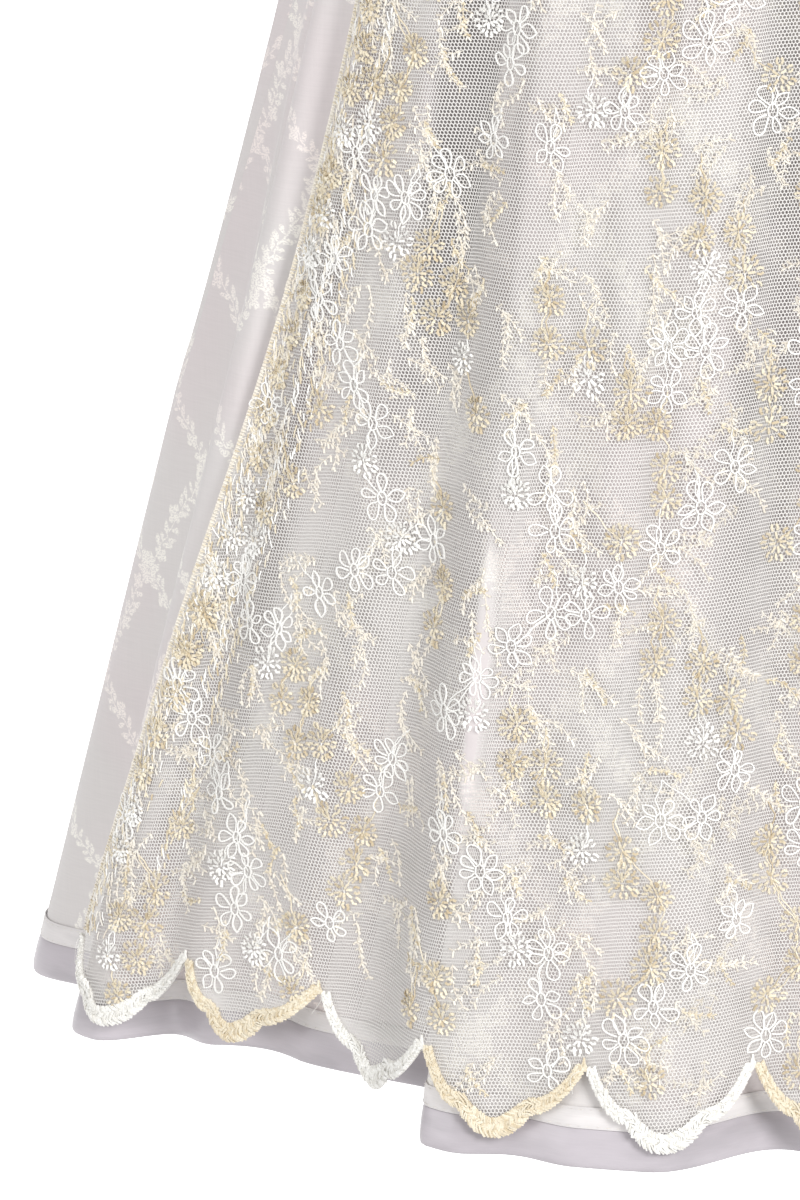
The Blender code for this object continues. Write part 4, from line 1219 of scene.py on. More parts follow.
class DRESS_OT_hem_trims(bpy.types.Operator):
    """Satin band that binds the hem, cream ribbon above it, and their stitching"""
    bl_idname = "dress.hem_trims"
    bl_label = "Hem trims"

    def execute(self, context):
        colours = context.scene.dress_colours
        satin = satin_material("hem satin", colours.satin, 0.36)
        cream = satin_material("cream ribbon", colours.ribbon, 0.50)
        stitches = Threads()
        for side, count in (("front", FRONT_COLUMNS), ("back", BACK_COLUMNS)):
            angles = panel_angles(side, count)
            ribbon = cloth_shell("hem_cream_ribbon_" + side, creased_skirt, angles, *ribbon_profile(), cream)
            finish_piece(ribbon, "cream_ribbon", "hem_ribbon_" + side)
            band = cloth_shell("hem_satin_" + side, creased_skirt, angles, *band_profile(), satin)
            finish_piece(band, "hem_satin", "hem_band_" + side)
            run = running_length(skirt_surface(angles, np.full(angles.shape, SKIRT_DROP)))[-1]
            for drop in (BAND_TOP - RIBBON_WIDTH + 0.0008, BAND_TOP - 0.0009):
                lay_hem_stitches(stitches, angles[0], angles[-1], drop, run)
        thread = thread_material("hem thread", colours.cream_thread, colours.ribbon, 0.5)
        piece = stitches.make("hem_stitches", hem_place, thread, sides=3)
        finish_piece(piece, "cream_ribbon")
        return {"FINISHED"}


def band_profile():
    """Rows and the two offsets of the satin, rounded over the hem's edge."""
    share = np.array([0.0, 0.06, 0.3, 0.6, 0.85, 0.96, 1.0])
    drops = BAND_TOP + 0.0001 + (HEM_BAND_WIDTH - 0.0001) * share
    puff = np.array([0.35, 0.62, 0.85, 0.9, 0.8, 0.5, 0.1])
    return drops, (0.001 * puff[:, None], -0.001 * puff[:, None] - 0.0002)


def ribbon_profile():
    share = np.array([0.0, 0.05, 0.5, 0.95, 1.0])
    drops = BAND_TOP - 0.0001 - RIBBON_WIDTH * (1.0 - share)
    lift = LAYER + RIBBON_CLOTH * np.array([0.7, 1.0, 1.05, 1.0, 0.7])
    return drops, (lift[:, None], LAYER)


def hem_place(hem_angle, drop):
    """Points and normals of the skirt's outer face by hem angle."""
    angle = thread_angle(hem_angle, drop)
    return creased_skirt(angle, drop), way_out(creased_skirt, angle, drop)


def lay_hem_stitches(stitches, start, end, drop, run, length=0.0024, pitch=0.0036):
    count = int(run / pitch)
    ends = even_angles(skirt_surface, start, end, count, drop)
    for left, right in zip(ends, ends[1:]):
        line = left + (right - left) * length / pitch * np.array([0.0, 0.5, 1.0])
        lifts = LAYER + RIBBON_CLOTH + np.array([-0.0001, 0.0001, -0.0001])
        stitches.lay(line, np.full(3, drop), 0.00013, lifts)


NET_COLUMNS = 292
NET_ROWS = 104
NET_LOWEST = 0.5535


class DRESS_OT_apron_net(bpy.types.Operator):
    """The apron's tulle, down to the scallops"""
    bl_idname = "dress.apron_net"
    bl_label = "Apron net"

    def execute(self, context):
        scene = context.scene
        net = net_material(scene.dress_sizes, scene.dress_colours)
        angles = even_angles(apron_surface, -APRON_HEM_ANGLE, APRON_HEM_ANGLE, NET_COLUMNS)
        lowest = scallop_drop(angles) - 0.0006
        share = np.linspace(0.0, 1.0, NET_ROWS)[:, None]
        drops = SEAM_GAP / 2 + (lowest[None, :] - SEAM_GAP / 2) * share
        half = 0.5 * NET_CLOTH
        piece = cloth_shell("apron_net", net_surface, angles, drops, (half, -half), net)
        finish_piece(piece, "apron_lace", "apron_panel")
        declare_panel(apron_surface, angles)
        return {"FINISHED"}


def net_map():
    """The apron's net laid out flat."""
    return ClothMap(net_surface, -APRON_HEM_ANGLE, APRON_HEM_ANGLE, NET_LOWEST)


class DRESS_OT_apron_lace(bpy.types.Operator):
    """Corded flowers, blossoms, sprays and stems on the net, and the stitched side hems"""
    bl_idname = "dress.apron_lace"
    bl_label = "Apron lace"

    def execute(self, context):
        sizes, colours = context.scene.dress_sizes, context.scene.dress_colours
        cloth = net_map()
        threads = {key: Threads() for key in ("white", "small_white", "gold", "fine_gold", "cream")}
        chance = np.random.default_rng(41)
        lay_lace(threads, chance, cloth, sizes)
        for side in (1.0, -1.0):
            lay_side_hem(threads, chance, cloth, side, sizes)
        white = thread_material("white cord", colours.white_thread, (0.86, 0.85, 0.82))
        gold = thread_material("gold cord", colours.gold_thread, colours.deep_gold)
        cream = thread_material("cream thread", colours.cream_thread, (0.72, 0.65, 0.55))
        for name, key, finish, sides in (
                ("apron_flowers_white", "white", white, 4),
                ("apron_blossoms_white", "small_white", white, 3),
                ("apron_blossoms_gold", "gold", gold, 3),
                ("apron_sprays_gold", "fine_gold", gold, 3),
                ("apron_sprays_cream", "cream", cream, 3)):
            finish_piece(threads[key].make(name, cloth.read, finish, sides), "apron_lace")
        return {"FINISHED"}


def lace_places(cloth, chance):
    """Every motif's kind and place: the outer columns follow the side edge, the inner the centre."""
    rows = int((APRON_DROP - LACE_TOP) / LACE_STEP) + 1
    for row in range(rows):
        level = LACE_TOP + LACE_STEP * row
        signs = LACE_CHART[row % len(LACE_CHART)]
        for side in (1.0, -1.0):
            edge = abs(float(cloth.across(side * APRON_HEM_ANGLE, level)))
            seam = abs(float(cloth.across(side * LACE_SEAM_ANGLE, level)))
            inner = [(k + 0.5, k) for k in range(int(seam / LACE_STEP))]
            outer = [(edge / LACE_STEP - 0.6 - k, 40 - k) for k in range(int((edge - seam) / LACE_STEP))]
            for place, column in inner + outer:
                kind = signs[int(column * side + (side < 0.0) * 3) % len(signs)]
                across = side * LACE_STEP * (place + chance.uniform(-0.17, 0.17))
                drop = level + LACE_STEP * chance.uniform(-0.17, 0.17)
                if kind != ".":
                    yield kind, across, drop


def lay_lace(threads, chance, cloth, sizes):
    """Motifs by the chart, each tied by a stem to the one above. Crowded places stay bare."""
    placed = []
    for kind, across, drop in lace_places(cloth, chance):
        motif = MOTIFS[kind]
        spot, _, hem_angle = (found[0] for found in cloth.read(np.array([across]), np.array([drop])))
        if drop > scallop_drop(hem_angle) - 0.005 - 0.75 * motif.radius or drop < 0.004:
            continue
        if any(np.linalg.norm(spot - other[0]) < motif.room + other[1] for other in placed[-160:]):
            continue
        lay_motif(threads, chance, kind, across, drop, sizes)
        above = [other for other in placed[-160:] if 0.006 < drop - other[3] < 0.027
                 and abs(across - other[2]) < 0.016]
        placed.append((spot, motif.room, across, drop))
        if kind == "s" or not above:
            continue
        end = min(above, key=lambda other: np.linalg.norm(spot - other[0]))[2:]
        thread = threads[motif.thread]
        for _ in range(int(chance.integers(1, 3))):
            stem(thread, chance, end, (across, drop), 0.72 * sizes.cord, sway=0.0024)


def lay_motif(threads, chance, kind, across, drop, sizes):
    motif = MOTIFS[kind]
    radius = motif.radius * chance.uniform(0.9, 1.08)
    if kind == "W":
        corded_flower(threads["white"], chance, across, drop, radius, sizes.cord)
    elif kind in "wG":
        blossom(threads[motif.thread], chance, across, drop, radius, sizes.cord)
    elif kind == "c":
        cream_flower(threads["cream"], chance, across, drop, radius, sizes.fine_thread)
        spray(threads["cream"], chance, across, drop, radius, sizes.fine_thread, 2)
    else:
        spray(threads["cream"], chance, across, drop, radius, sizes.fine_thread)
        if chance.uniform() < 0.6:
            spray(threads["fine_gold"], chance, across, drop, 0.8 * radius, sizes.fine_thread, 1)


def lay_side_hem(threads, chance, cloth, side, sizes):
    """A rolled edge whipped over with thread, and the crowded lace beside it."""
    foot = APRON_DROP - SCALLOP_DEPTH - 0.002
    drops = np.arange(0.004, foot, 0.004)
    edge = np.array([cloth.across(side * APRON_HEM_ANGLE, drop) for drop in drops])
    threads["cream"].lay(edge - side * 0.0006, drops, 0.0008, 0.0)
    for drop in np.arange(0.005, foot, 0.0012):
        near = float(np.interp(drop, drops, edge)) - side * 0.0007
        key = "fine_gold" if chance.uniform() < 0.35 else "cream"
        x = near + side * np.array([0.0010, 0.0, -0.0013])
        threads[key].lay(x, drop + np.array([0.0, 0.0003, 0.0006]), sizes.fine_thread,
                         np.array([0.0, 0.00095, 0.0002]))
    for rope in SIDE_ROPES:
        for drop in np.arange(rope.top, min(foot, rope.foot), 0.001 / rope.density):
            near = float(np.interp(drop, drops, edge)) - side * rope.inward
            key = chance.choice(list(rope.threads))
            half = chance.uniform(0.0009, 0.0023)
            line = np.array([-half, 0.0, half])
            lean = chance.normal(0.0, 0.3)
            cord = sizes.fine_thread * chance.uniform(1.0, 1.5)
            x = near - side * abs(chance.normal(0.0, rope.spread)) + lean * line
            threads[THREAD_KEYS[key]].lay(x, drop + line, cord, cord * np.array([0.6, 1.6, 0.6]))
    for drop in np.arange(0.03, foot - 0.02, 0.0148):
        near = float(np.interp(drop, drops, edge))
        wide = near - side * chance.uniform(0.007, 0.012)
        key = "gold" if chance.uniform() < 0.6 else "small_white"
        blossom(threads[key], chance, wide, drop, 0.0060, sizes.cord)


THREAD_KEYS = {"g": "fine_gold", "c": "cream", "w": "small_white"}

SideRope = namedtuple("SideRope", "inward spread top foot density threads")

# Ropes of stitches that run beside the apron's side edges.
#         inward: from the edge; spread: how far the stitches scatter; top and foot: drops;
#         density: stitches for each mm; threads: their share of gold, cream and white
SIDE_ROPES = (
    SideRope(inward=0.0022, spread=0.0062, top=0.008, foot=0.6, density=2.6, threads="ggccw"),
    SideRope(inward=0.0190, spread=0.0028, top=0.090, foot=0.43, density=1.1, threads="wwwcg"),
    SideRope(inward=0.0270, spread=0.0034, top=0.240, foot=0.50, density=0.9, threads="ggcw"),
)


class DRESS_OT_scallops(bpy.types.Operator):
    """Satin-stitched border of the scallops, white and gold by turns"""
    bl_idname = "dress.scallops"
    bl_label = "Scallops"

    def execute(self, context):
        sizes, colours = context.scene.dress_sizes, context.scene.dress_colours
        cloth = net_map()
        chance = np.random.default_rng(17)
        threads = {"white": Threads(), "gold": Threads()}
        for scallop in range(SCALLOPS):
            key = "gold" if scallop % 2 == 0 else "white"
            lay_border(threads[key], chance, cloth, scallop, sizes)
        lay_loose_ends(threads["white"], chance, cloth)
        white = thread_material("white satin stitch", colours.white_thread, (0.70, 0.68, 0.63), 0.42)
        gold = thread_material("gold satin stitch", (0.86, 0.79, 0.64), (0.62, 0.51, 0.34), 0.42)
        for key, material in (("white", white), ("gold", gold)):
            piece = threads[key].make("scallops_" + key, cloth.read, material)
            finish_piece(piece, "scallop_thread", "apron_scallop_edge")
        return {"FINISHED"}


def border_line(cloth, scallop):
    """Places along the lower edge of one scallop, even in length, and the way in from each."""
    angles = np.linspace(SCALLOP_ENDS[scallop], SCALLOP_ENDS[scallop + 1], SCALLOP_FINE)
    inside = np.clip(angles, SCALLOP_ENDS[scallop] + 1e-4, SCALLOP_ENDS[scallop + 1] - 1e-4)
    drop = scallop_drop(inside)
    across = np.array([cloth.across(a, d) for a, d in zip(angles, drop)])
    return across, drop


BORDER_ROWS = ((0.0, 0.40, 1.0), (0.30, 0.72, -1.0), (0.62, 1.0, 1.0))


def lay_border(threads, chance, cloth, scallop, sizes):
    """Three rows of slanted stitches over a padding of cords, widest at the scallop's lowest point."""
    across, drop = border_line(cloth, scallop)
    run = np.concatenate([[0.0], np.cumsum(np.hypot(np.diff(across), np.diff(drop)))])

    def at(place, inward):
        """A place along the border's outer line and in from it."""
        place = np.clip(place, 0.0, run[-1])
        ahead, behind = np.minimum(place + 0.0012, run[-1]), np.maximum(place - 0.0012, 0.0)
        dx = np.interp(ahead, run, across) - np.interp(behind, run, across)
        dy = np.interp(ahead, run, drop) - np.interp(behind, run, drop)
        size = np.hypot(dx, dy)
        return (np.interp(place, run, across) + inward * dy / size,
                np.interp(place, run, drop) - inward * dx / size)

    def width(place):
        share = np.clip(place / run[-1], 0.0, 1.0)
        return sizes.border * (0.50 + 0.50 * np.sin(np.pi * share).clip(0.0) ** 2.2)

    line = np.linspace(0.0005, run[-1] - 0.0005, 60)
    for share in (0.16, 0.38, 0.60, 0.82):
        threads.lay(*at(line, share * width(line)), 0.00075, 0.0002)
    for low, high, way in BORDER_ROWS:
        for place in np.arange(0.0, run[-1], sizes.border_pitch):
            wide = width(place)
            slant = way * chance.normal(0.0013, 0.0003)
            reach = np.array([low, 0.5 * (low + high), high]) + chance.uniform(-0.035, 0.035)
            places = place + slant * np.array([-1.0, 0.0, 1.0])
            lift = 0.0010 + chance.uniform(0.0, 0.0005) + np.array([-0.0007, 0.0, -0.0006])
            threads.lay(*at(places, reach * wide), 0.00043 * chance.uniform(0.85, 1.2), lift)
    lay_cusp(threads, chance, across[0] + 0.0006, drop[0])


def lay_cusp(threads, chance, across, drop, height=0.0048):
    """The little pointed peak that stands up between two scallops."""
    tip = np.linspace(0.0, 1.0, 4)
    for start in np.linspace(-0.0019, 0.0019, 11):
        peak = height * (1.0 - abs(start) / 0.0032) * chance.uniform(0.8, 1.1)
        threads.lay(across + start * (1.0 - 0.75 * tip), drop + 0.0012 - peak * tip,
                    0.00042, 0.0007 + 0.0003 * np.sin(np.pi * tip))


def lay_loose_ends(threads, chance, cloth):
    """A few short ends of thread left at the scallops' points."""
    for scallop in (1, 4, 6, 8, 10):
        angle = SCALLOP_ENDS[scallop] - (0.6 if scallop == SCALLOPS else 0.0)
        x = float(cloth.across(angle, APRON_DROP - SCALLOP_DEPTH))
        share = np.linspace(0.0, 1.0, 9)
        reach = chance.uniform(0.006, 0.012)
        curl = chance.uniform(-0.004, 0.004)
        threads.lay(x + reach * 0.5 * share + curl * np.sin(3.0 * share),
                    APRON_DROP - SCALLOP_DEPTH + 0.001 + reach * share ** 2, 0.00011,
                    0.0008 + 0.0012 * np.sin(np.pi * share))


class DRESS_OT_band_and_bow(bpy.types.Operator):
    """The apron's satin band, its ties, and the bow at the back"""
    bl_idname = "dress.band_and_bow"
    bl_label = "Band and bow"

    def execute(self, context):
        colours = context.scene.dress_colours
        satin = satin_material("band satin", colours.band, 0.40)
        edge = float(apron_edge_angle(np.float64(0.0)))
        start = edge + TIE_SEAM_ANGLE
        pieces = (("apron_waistband_satin", "apron_waistband", -edge, edge),
                  ("apron_tie_right_satin", "apron_tie_right", start, TIE_END_ANGLE),
                  ("apron_tie_left_satin", "apron_tie_left", -TIE_END_ANGLE, -start))
        for name, node, low, high in pieces:
            piece, run = make_band(name, low, high, satin)
            finish_piece(piece, "apron_band_satin", node)
        make_bow(satin)
        return {"FINISHED"}


def make_band(name, low, high, satin):
    """A strip round the waist, softly puckered along its lower edge."""
    angles = np.linspace(low, high, max(12, int(abs(high - low) * 1.6)))
    share = np.array([0.0, 0.04, 0.12, 0.3, 0.5, 0.7, 0.88, 0.96, 1.0])
    heights = WAISTBAND_LIFT + WAISTBAND_HEIGHT * share
    angle, height = np.meshgrid(angles, heights)
    pucker = 0.00022 * np.sin(np.radians(angle) * 57.0 + 2.0 * np.sin(np.radians(angle) * 9.0))
    rounded = np.array([0.3, 0.75, 0.95, 1.0, 1.0, 1.0, 0.95, 0.75, 0.3])[:, None]
    fade = (1.0 - share)[:, None] ** 2
    points, normals = bodice_surface(angle, height), bodice_way_out(angle, height)
    outer = points + normals * (0.0005 + 0.0011 * rounded + pucker * fade)[..., None]
    inner = points + normals * 0.0004
    uv = laid_out(points, height, 0)
    return shell(name, outer, inner, uv, satin), float(running_length(points[4:5])[0, -1])


def ribbon_shell(name, centres, acrosses, widths, ripples, thickness, material):
    """A ribbon along a line of centres, each with the way across it, its width and its gathers' height."""
    share = np.concatenate([[-0.5], np.linspace(-0.48, 0.48, 21), [0.5]])
    points = centres[:, None, :] + acrosses[:, None, :] * (widths[:, None] * share)[..., None]
    normals = unit(np.cross(np.gradient(points, axis=0), np.gradient(points, axis=1)))
    gathers = np.cos(2.0 * np.pi * 2.6 * share + 0.8) * (1.0 - (1.9 * share) ** 4)
    points = points + normals * (ripples[:, None] * gathers)[..., None]
    normals = unit(np.cross(np.gradient(points, axis=0), np.gradient(points, axis=1)))
    rounded = np.where(np.abs(share) > 0.49, 0.35, 1.0)[None, :, None]
    half = 0.5 * thickness * rounded
    run = running_length(centres[None])[0]
    uv = np.stack(np.broadcast_arrays(run[:, None], widths[:, None] * share), -1)
    piece = shell(name, points + normals * half, points - normals * half, uv, material)
    return piece, float(run[-1])


def make_bow(satin):
    back = bodice_surface(np.float64(180.0), np.float64(WAISTBAND_LIFT + 0.5 * WAISTBAND_HEIGHT))
    centre = back + np.array([0.0, 0.0004 + 0.0012 + SEAM_GAP + KNOT_DEPTH / 2, 0.0])
    make_knot(centre, satin)
    for name, side in (("left", 1.0), ("right", -1.0)):
        piece, run = ribbon_shell("bow_loop_%s_satin" % name, *loop_line(centre, side), BAND_CLOTH, satin)
        finish_piece(piece, "apron_band_satin", "bow_loop_" + name)
        top = centre[2] - KNOT_HEIGHT / 2 - SEAM_GAP + 0.004
        piece, run = ribbon_shell("bow_tail_%s_satin" % name, *tail_line(top, side), BAND_CLOTH, satin)
        finish_piece(piece, "apron_band_satin", "bow_tail_" + name)


def loop_line(centre, side):
    """Out from the knot along the front of the loop and back along its other layer."""
    turn = np.linspace(0.06, 2.0 * np.pi - 0.06, 64)
    reach = 0.5 * BOW_LOOP_LENGTH * (1.0 - np.cos(turn))
    pinch = reach / BOW_LOOP_LENGTH
    opens = BOW_LOOP_OPENS * np.sin(turn) * (0.45 + 0.55 * np.sqrt(pinch))
    widths = BOW_HEIGHT * (BOW_PINCH * (0.75 + 0.25 * np.minimum(1.0, 4.0 * pinch))
                           + (1.0 - BOW_PINCH) * pinch)
    centres = centre + as_points(side * (KNOT_WIDTH / 2 + SEAM_GAP + reach), opens, -BOW_LOOP_SAG * reach)
    acrosses = unit(as_points(side * BOW_LOOP_SAG * 0.4, 0.06 * np.sin(2.0 * turn), np.ones(len(turn))))
    return centres, acrosses, widths, 0.0013 * np.exp(-reach / 0.020)


def tail_line(top, side):
    """Down over the back of the skirt, clear of its folds, cut on a slant at the end."""
    fall = np.linspace(0.0, TAIL_DROP + 0.004, 70)
    size = flare(np.maximum(0.0, WAIST_Z - top + fall))
    half_width = WAIST_HALF_WIDTH + (HEM_HALF_WIDTH - WAIST_HALF_WIDTH) * size
    half_depth = WAIST_HALF_DEPTH + (HEM_HALF_DEPTH - WAIST_HALF_DEPTH) * size
    widths = TAIL_WIDTH * (TAIL_PINCH + (1.0 - TAIL_PINCH) * np.minimum(1.0, fall / TAIL_WIDENS_IN))
    x = side * (TAIL_FROM_CENTRE + TAIL_SPREAD * fall + 0.0015 * np.sin(fall * 38.0))
    y = half_depth * np.sqrt(1.0 - (x / half_width) ** 2) + TAIL_STANDS_OFF - 0.0006
    y = y + 0.0012 * np.sin(fall * 52.0 + side) * np.minimum(1.0, fall / 0.08)
    slant = TAIL_SLANT / TAIL_WIDTH * np.clip((fall - TAIL_DROP + 0.02) / 0.024, 0.0, 1.0)
    acrosses = unit(as_points(side * np.ones(len(fall)), -x * side / half_width ** 2 * half_depth, slant))
    return as_points(x, y, top - fall), acrosses, widths, 0.0010 * np.exp(-fall / 0.045)


def make_knot(centre, satin):
    """A pillowed knot, pleated where the tie is drawn round it."""
    bpy.ops.object.select_all(action="DESELECT")
    bpy.ops.mesh.primitive_cube_add(size=1.0)
    knot = bpy.context.object
    knot.name = "bow_knot_satin"
    bpy.ops.object.mode_set(mode="EDIT")
    bpy.ops.mesh.select_all(action="SELECT")
    bpy.ops.mesh.subdivide(number_cuts=14)
    bpy.ops.object.mode_set(mode="OBJECT")
    for vertex in knot.data.vertices:
        place = vertex.co * 2.0
        swollen = max(abs(part) for part in place) / sum(abs(part) ** 3.2 for part in place) ** (1 / 3.2)
        x, y, z = place * swollen
        waist = 1.0 - 0.16 * (1.0 - z * z)
        pleat = 0.10 * math.cos(5.0 * math.pi * x + 0.8 * z) * (1.0 - abs(x) ** 4)
        vertex.co = (KNOT_WIDTH / 2 * x * waist, KNOT_DEPTH / 2 * y * (1.0 + pleat), KNOT_HEIGHT / 2 * z)
        vertex.co += Vector(centre)
    layer = knot.data.uv_layers[0]
    for loop in knot.data.loops:
        place = knot.data.vertices[loop.vertex_index].co
        layer.data[loop.index].uv = (place.z, place.x)
    knot.data.materials.append(satin)
    knot.data.shade_smooth()
    finish_piece(knot, "apron_band_satin", "bow_knot")


BodiceCrease = namedtuple("BodiceCrease", "at height reach_round reach_up lean depth")

# Soft drags in the bodice's cloth, inward only, clear of the closure and the band.
#         at: angle; height: above the waist, in mm; reach_round: in degrees; reach_up: in mm;
#         lean: degrees round for each 100 mm up; depth: a share of the depth below
BODICE_CREASE_DEPTH = 0.0026
BODICE_CREASES = (
    BodiceCrease(at=30.0, height=70, reach_round=2.6, reach_up=34, lean=9.0, depth=0.9),
    BodiceCrease(at=52.0, height=105, reach_round=3.0, reach_up=38, lean=22.0, depth=1.2),
    BodiceCrease(at=74.0, height=80, reach_round=2.6, reach_up=40, lean=-6.0, depth=1.0),
    BodiceCrease(at=-26.0, height=82, reach_round=2.4, reach_up=36, lean=-8.0, depth=0.9),
    BodiceCrease(at=-50.0, height=100, reach_round=3.2, reach_up=40, lean=-24.0, depth=1.2),
    BodiceCrease(at=-76.0, height=78, reach_round=2.6, reach_up=38, lean=5.0, depth=0.9),
    BodiceCrease(at=108.0, height=88, reach_round=3.0, reach_up=42, lean=-10.0, depth=1.1),
    BodiceCrease(at=140.0, height=76, reach_round=2.6, reach_up=36, lean=-6.0, depth=0.9),
    BodiceCrease(at=168.0, height=92, reach_round=2.6, reach_up=44, lean=3.0, depth=0.8),
    BodiceCrease(at=194.0, height=78, reach_round=2.6, reach_up=38, lean=4.0, depth=0.9),
    BodiceCrease(at=222.0, height=90, reach_round=3.0, reach_up=42, lean=9.0, depth=1.1),
    BodiceCrease(at=254.0, height=84, reach_round=2.8, reach_up=40, lean=8.0, depth=1.0),
)
CENTRE_COLUMN = 0.02
SEAM_CLEAR = 0.00001
BODY_HEIGHTS = 26
NECK_ROWS = 30


def bodice_cloth(angle, height):
    """The bodice's outer face with its soft drags, and its normals."""
    depth = np.zeros(np.broadcast(angle, height).shape)
    for crease in BODICE_CREASES:
        up = (1000.0 * height - crease.height) / crease.reach_up
        centre = crease.at + crease.lean * (1000.0 * height - crease.height) / 100.0
        side = angle_between(angle, centre) / crease.reach_round
        along = swell(np.clip(up, -1, 1))
        depth = depth + BODICE_CREASE_DEPTH * crease.depth * along * np.exp(-side ** 2)
    normals = bodice_way_out(angle, height)
    points = bodice_surface(angle, height) - normals * depth[..., None]
    clear = np.maximum(np.abs(points[..., 1]), SEAM_CLEAR)
    points[..., 1] = np.copysign(clear, -np.cos(np.radians(angle)))
    return points, normals


def yoke_heights(neck_yoke):
    """Rows of a bodice panel, closest where the neckline turns."""
    body = np.linspace(SEAM_GAP / 2, CHEST_HEIGHT, BODY_HEIGHTS)
    share = np.linspace(0.0, 1.0, NECK_ROWS) ** 1.7
    below = CHEST_HEIGHT + np.linspace(0.0, neck_yoke, max(4, int(22 * neck_yoke)))[1:-1]
    return np.concatenate([body, below, CHEST_HEIGHT + neck_yoke + (1.0 - neck_yoke) * share])


def half_panel(neck_yoke, columns=40):
    """Angles, from the centre out, and heights of half a front or back."""
    heights = yoke_heights(neck_yoke)
    yoke = np.clip(heights - CHEST_HEIGHT, 0.0, 1.0)
    inner = np.maximum(neck_angle(yoke, neck_yoke), CENTRE_COLUMN)
    outer = np.minimum(armhole_angle(yoke), 90.0 - math.degrees(SEAM_CLEAR / CHEST_HALF_DEPTH))
    share = np.linspace(0.0, 1.0, columns)[None, :]
    return inner[:, None] + (outer - inner)[:, None] * share, heights


def bodice_panel(name, angles, heights, material, keep=None):
    """One panel of the bodice, its flat size, and its flat area with the ease that darts take up."""
    height = np.broadcast_to(heights[:, None], angles.shape)
    points, normals = bodice_cloth(angles, height)
    inner = points - normals * (BODICE_WALL * 0.6)
    uv = laid_out(points, height, angles.shape[1] // 2)
    piece = shell(name, points, inner, uv, material, keep)
    diagonals = (points[1:, 1:] - points[:-1, :-1], points[1:, :-1] - points[:-1, 1:])
    areas = 0.5 * np.linalg.norm(np.cross(*diagonals), axis=-1)
    area = float(areas.sum() if keep is None else areas[keep].sum())
    width = float(running_length(points[BODY_HEIGHTS - 1:BODY_HEIGHTS])[0, -1])
    length = float(running_length(points.transpose(1, 0, 2))[:, -1].max())
    return piece, (width, length), min(1.03 * area, width * length)


class DRESS_OT_bodice(bpy.types.Operator):
    """Front and back of the bodice, the button stand, and the topstitching of their edges"""
    bl_idname = "dress.bodice"
    bl_label = "Bodice"

    def execute(self, context):
        colours = context.scene.dress_colours
        cloth = plain_cloth_material("bodice cloth", colours.bodice, 0.60, 0.25)
        angles, heights = half_panel(FRONT_NECK_YOKE)
        for name, side in (("left", -1.0), ("right", 1.0)):
            piece, flat, area = bodice_panel("bodice_%s_cloth" % name, side * angles, heights, cloth)
            finish_piece(piece, "bodice_cloth", "bodice_front_" + name)
        angles, heights = half_panel(BACK_NECK_YOKE)
        whole = 180.0 + np.concatenate([-angles[:, ::-1], angles], axis=1)
        keep = np.ones((whole.shape[0] - 1, whole.shape[1] - 1), bool)
        keep[heights[:-1] >= CHEST_HEIGHT + BACK_NECK_YOKE, angles.shape[1] - 1] = False
        piece, flat, area = bodice_panel("bodice_back_cloth", whole, heights, cloth, keep)
        finish_piece(piece, "bodice_cloth", "bodice_back")
        make_placket(cloth)
        thread = thread_material("bodice thread", (0.80, 0.77, 0.76), (0.66, 0.63, 0.63), 0.5)
        stitches = bodice_stitches().make("bodice_stitches", bodice_cloth, thread, sides=3)
        finish_piece(stitches, "bodice_cloth")
        return {"FINISHED"}


PLACKET_LOW = WAISTBAND_LIFT + WAISTBAND_HEIGHT + SEAM_GAP
PLACKET_FACE = 0.0012


def make_placket(cloth):
    angles = PLACKET_HALF_ANGLE * np.array([-1.0, -0.97, -0.8, -0.4, 0.0, 0.4, 0.8, 0.97, 1.0])
    heights = np.linspace(PLACKET_LOW, CHEST_HEIGHT + FRONT_NECK_YOKE - 0.012, 60)
    angle, height = np.meshgrid(angles, heights)
    points, normals = bodice_surface(angle, height), bodice_way_out(angle, height)
    rounded = np.array([0.3, 0.8, 1.0, 1.0, 1.0, 1.0, 1.0, 0.8, 0.3])[None, :, None]
    outer = points + normals * (0.0005 + (PLACKET_FACE - 0.0005) * rounded)
    piece = shell("placket_cloth", outer, points + normals * 0.0003, laid_out(points, height, 4), cloth)
    finish_piece(piece, "bodice_cloth", "front_placket")
    run = running_length(points)[0, -1], running_length(points.transpose(1, 0, 2))[0, -1]


def bodice_stitches():
    """Topstitching beside the neckline, the armholes and the edges of the button stand."""
    stitches = Threads()
    lift = np.array([-0.00008, 0.0001, -0.00008])
    for neck_yoke, centre, way in ((FRONT_NECK_YOKE, 0.0, 1.0), (BACK_NECK_YOKE, 180.0, -1.0)):
        yoke = neck_yoke + (1.0 - neck_yoke) * np.linspace(0.0, 1.0, 500) ** 2.0
        for side in (1.0, -1.0):
            neck = np.maximum(neck_angle(yoke, neck_yoke), 0.3)
            inset = 2.6 if neck_yoke > 0.4 else 1.5
            lay_seam(stitches, centre + side * (neck + inset), CHEST_HEIGHT + yoke - 0.010, lift)
            low = np.linspace(0.0, 1.0, 500)
            hole = np.minimum(armhole_angle(low), 88.0) - 1.8
            lay_seam(stitches, centre + side * hole, CHEST_HEIGHT + np.maximum(0.0, low - 0.012), lift)
    for side in (1.0, -1.0):
        up = np.linspace(PLACKET_LOW + 0.001, CHEST_HEIGHT - 0.0005, 300)
        above = CHEST_HEIGHT + np.linspace(0.0, FRONT_NECK_YOKE - 0.03, 80)[1:]
        line = np.concatenate([up, above])
        angle = np.full(len(line), side * PLACKET_HALF_ANGLE * 0.84)
        lay_seam(stitches, angle, line, lift + PLACKET_FACE + 0.00005)
    return stitches


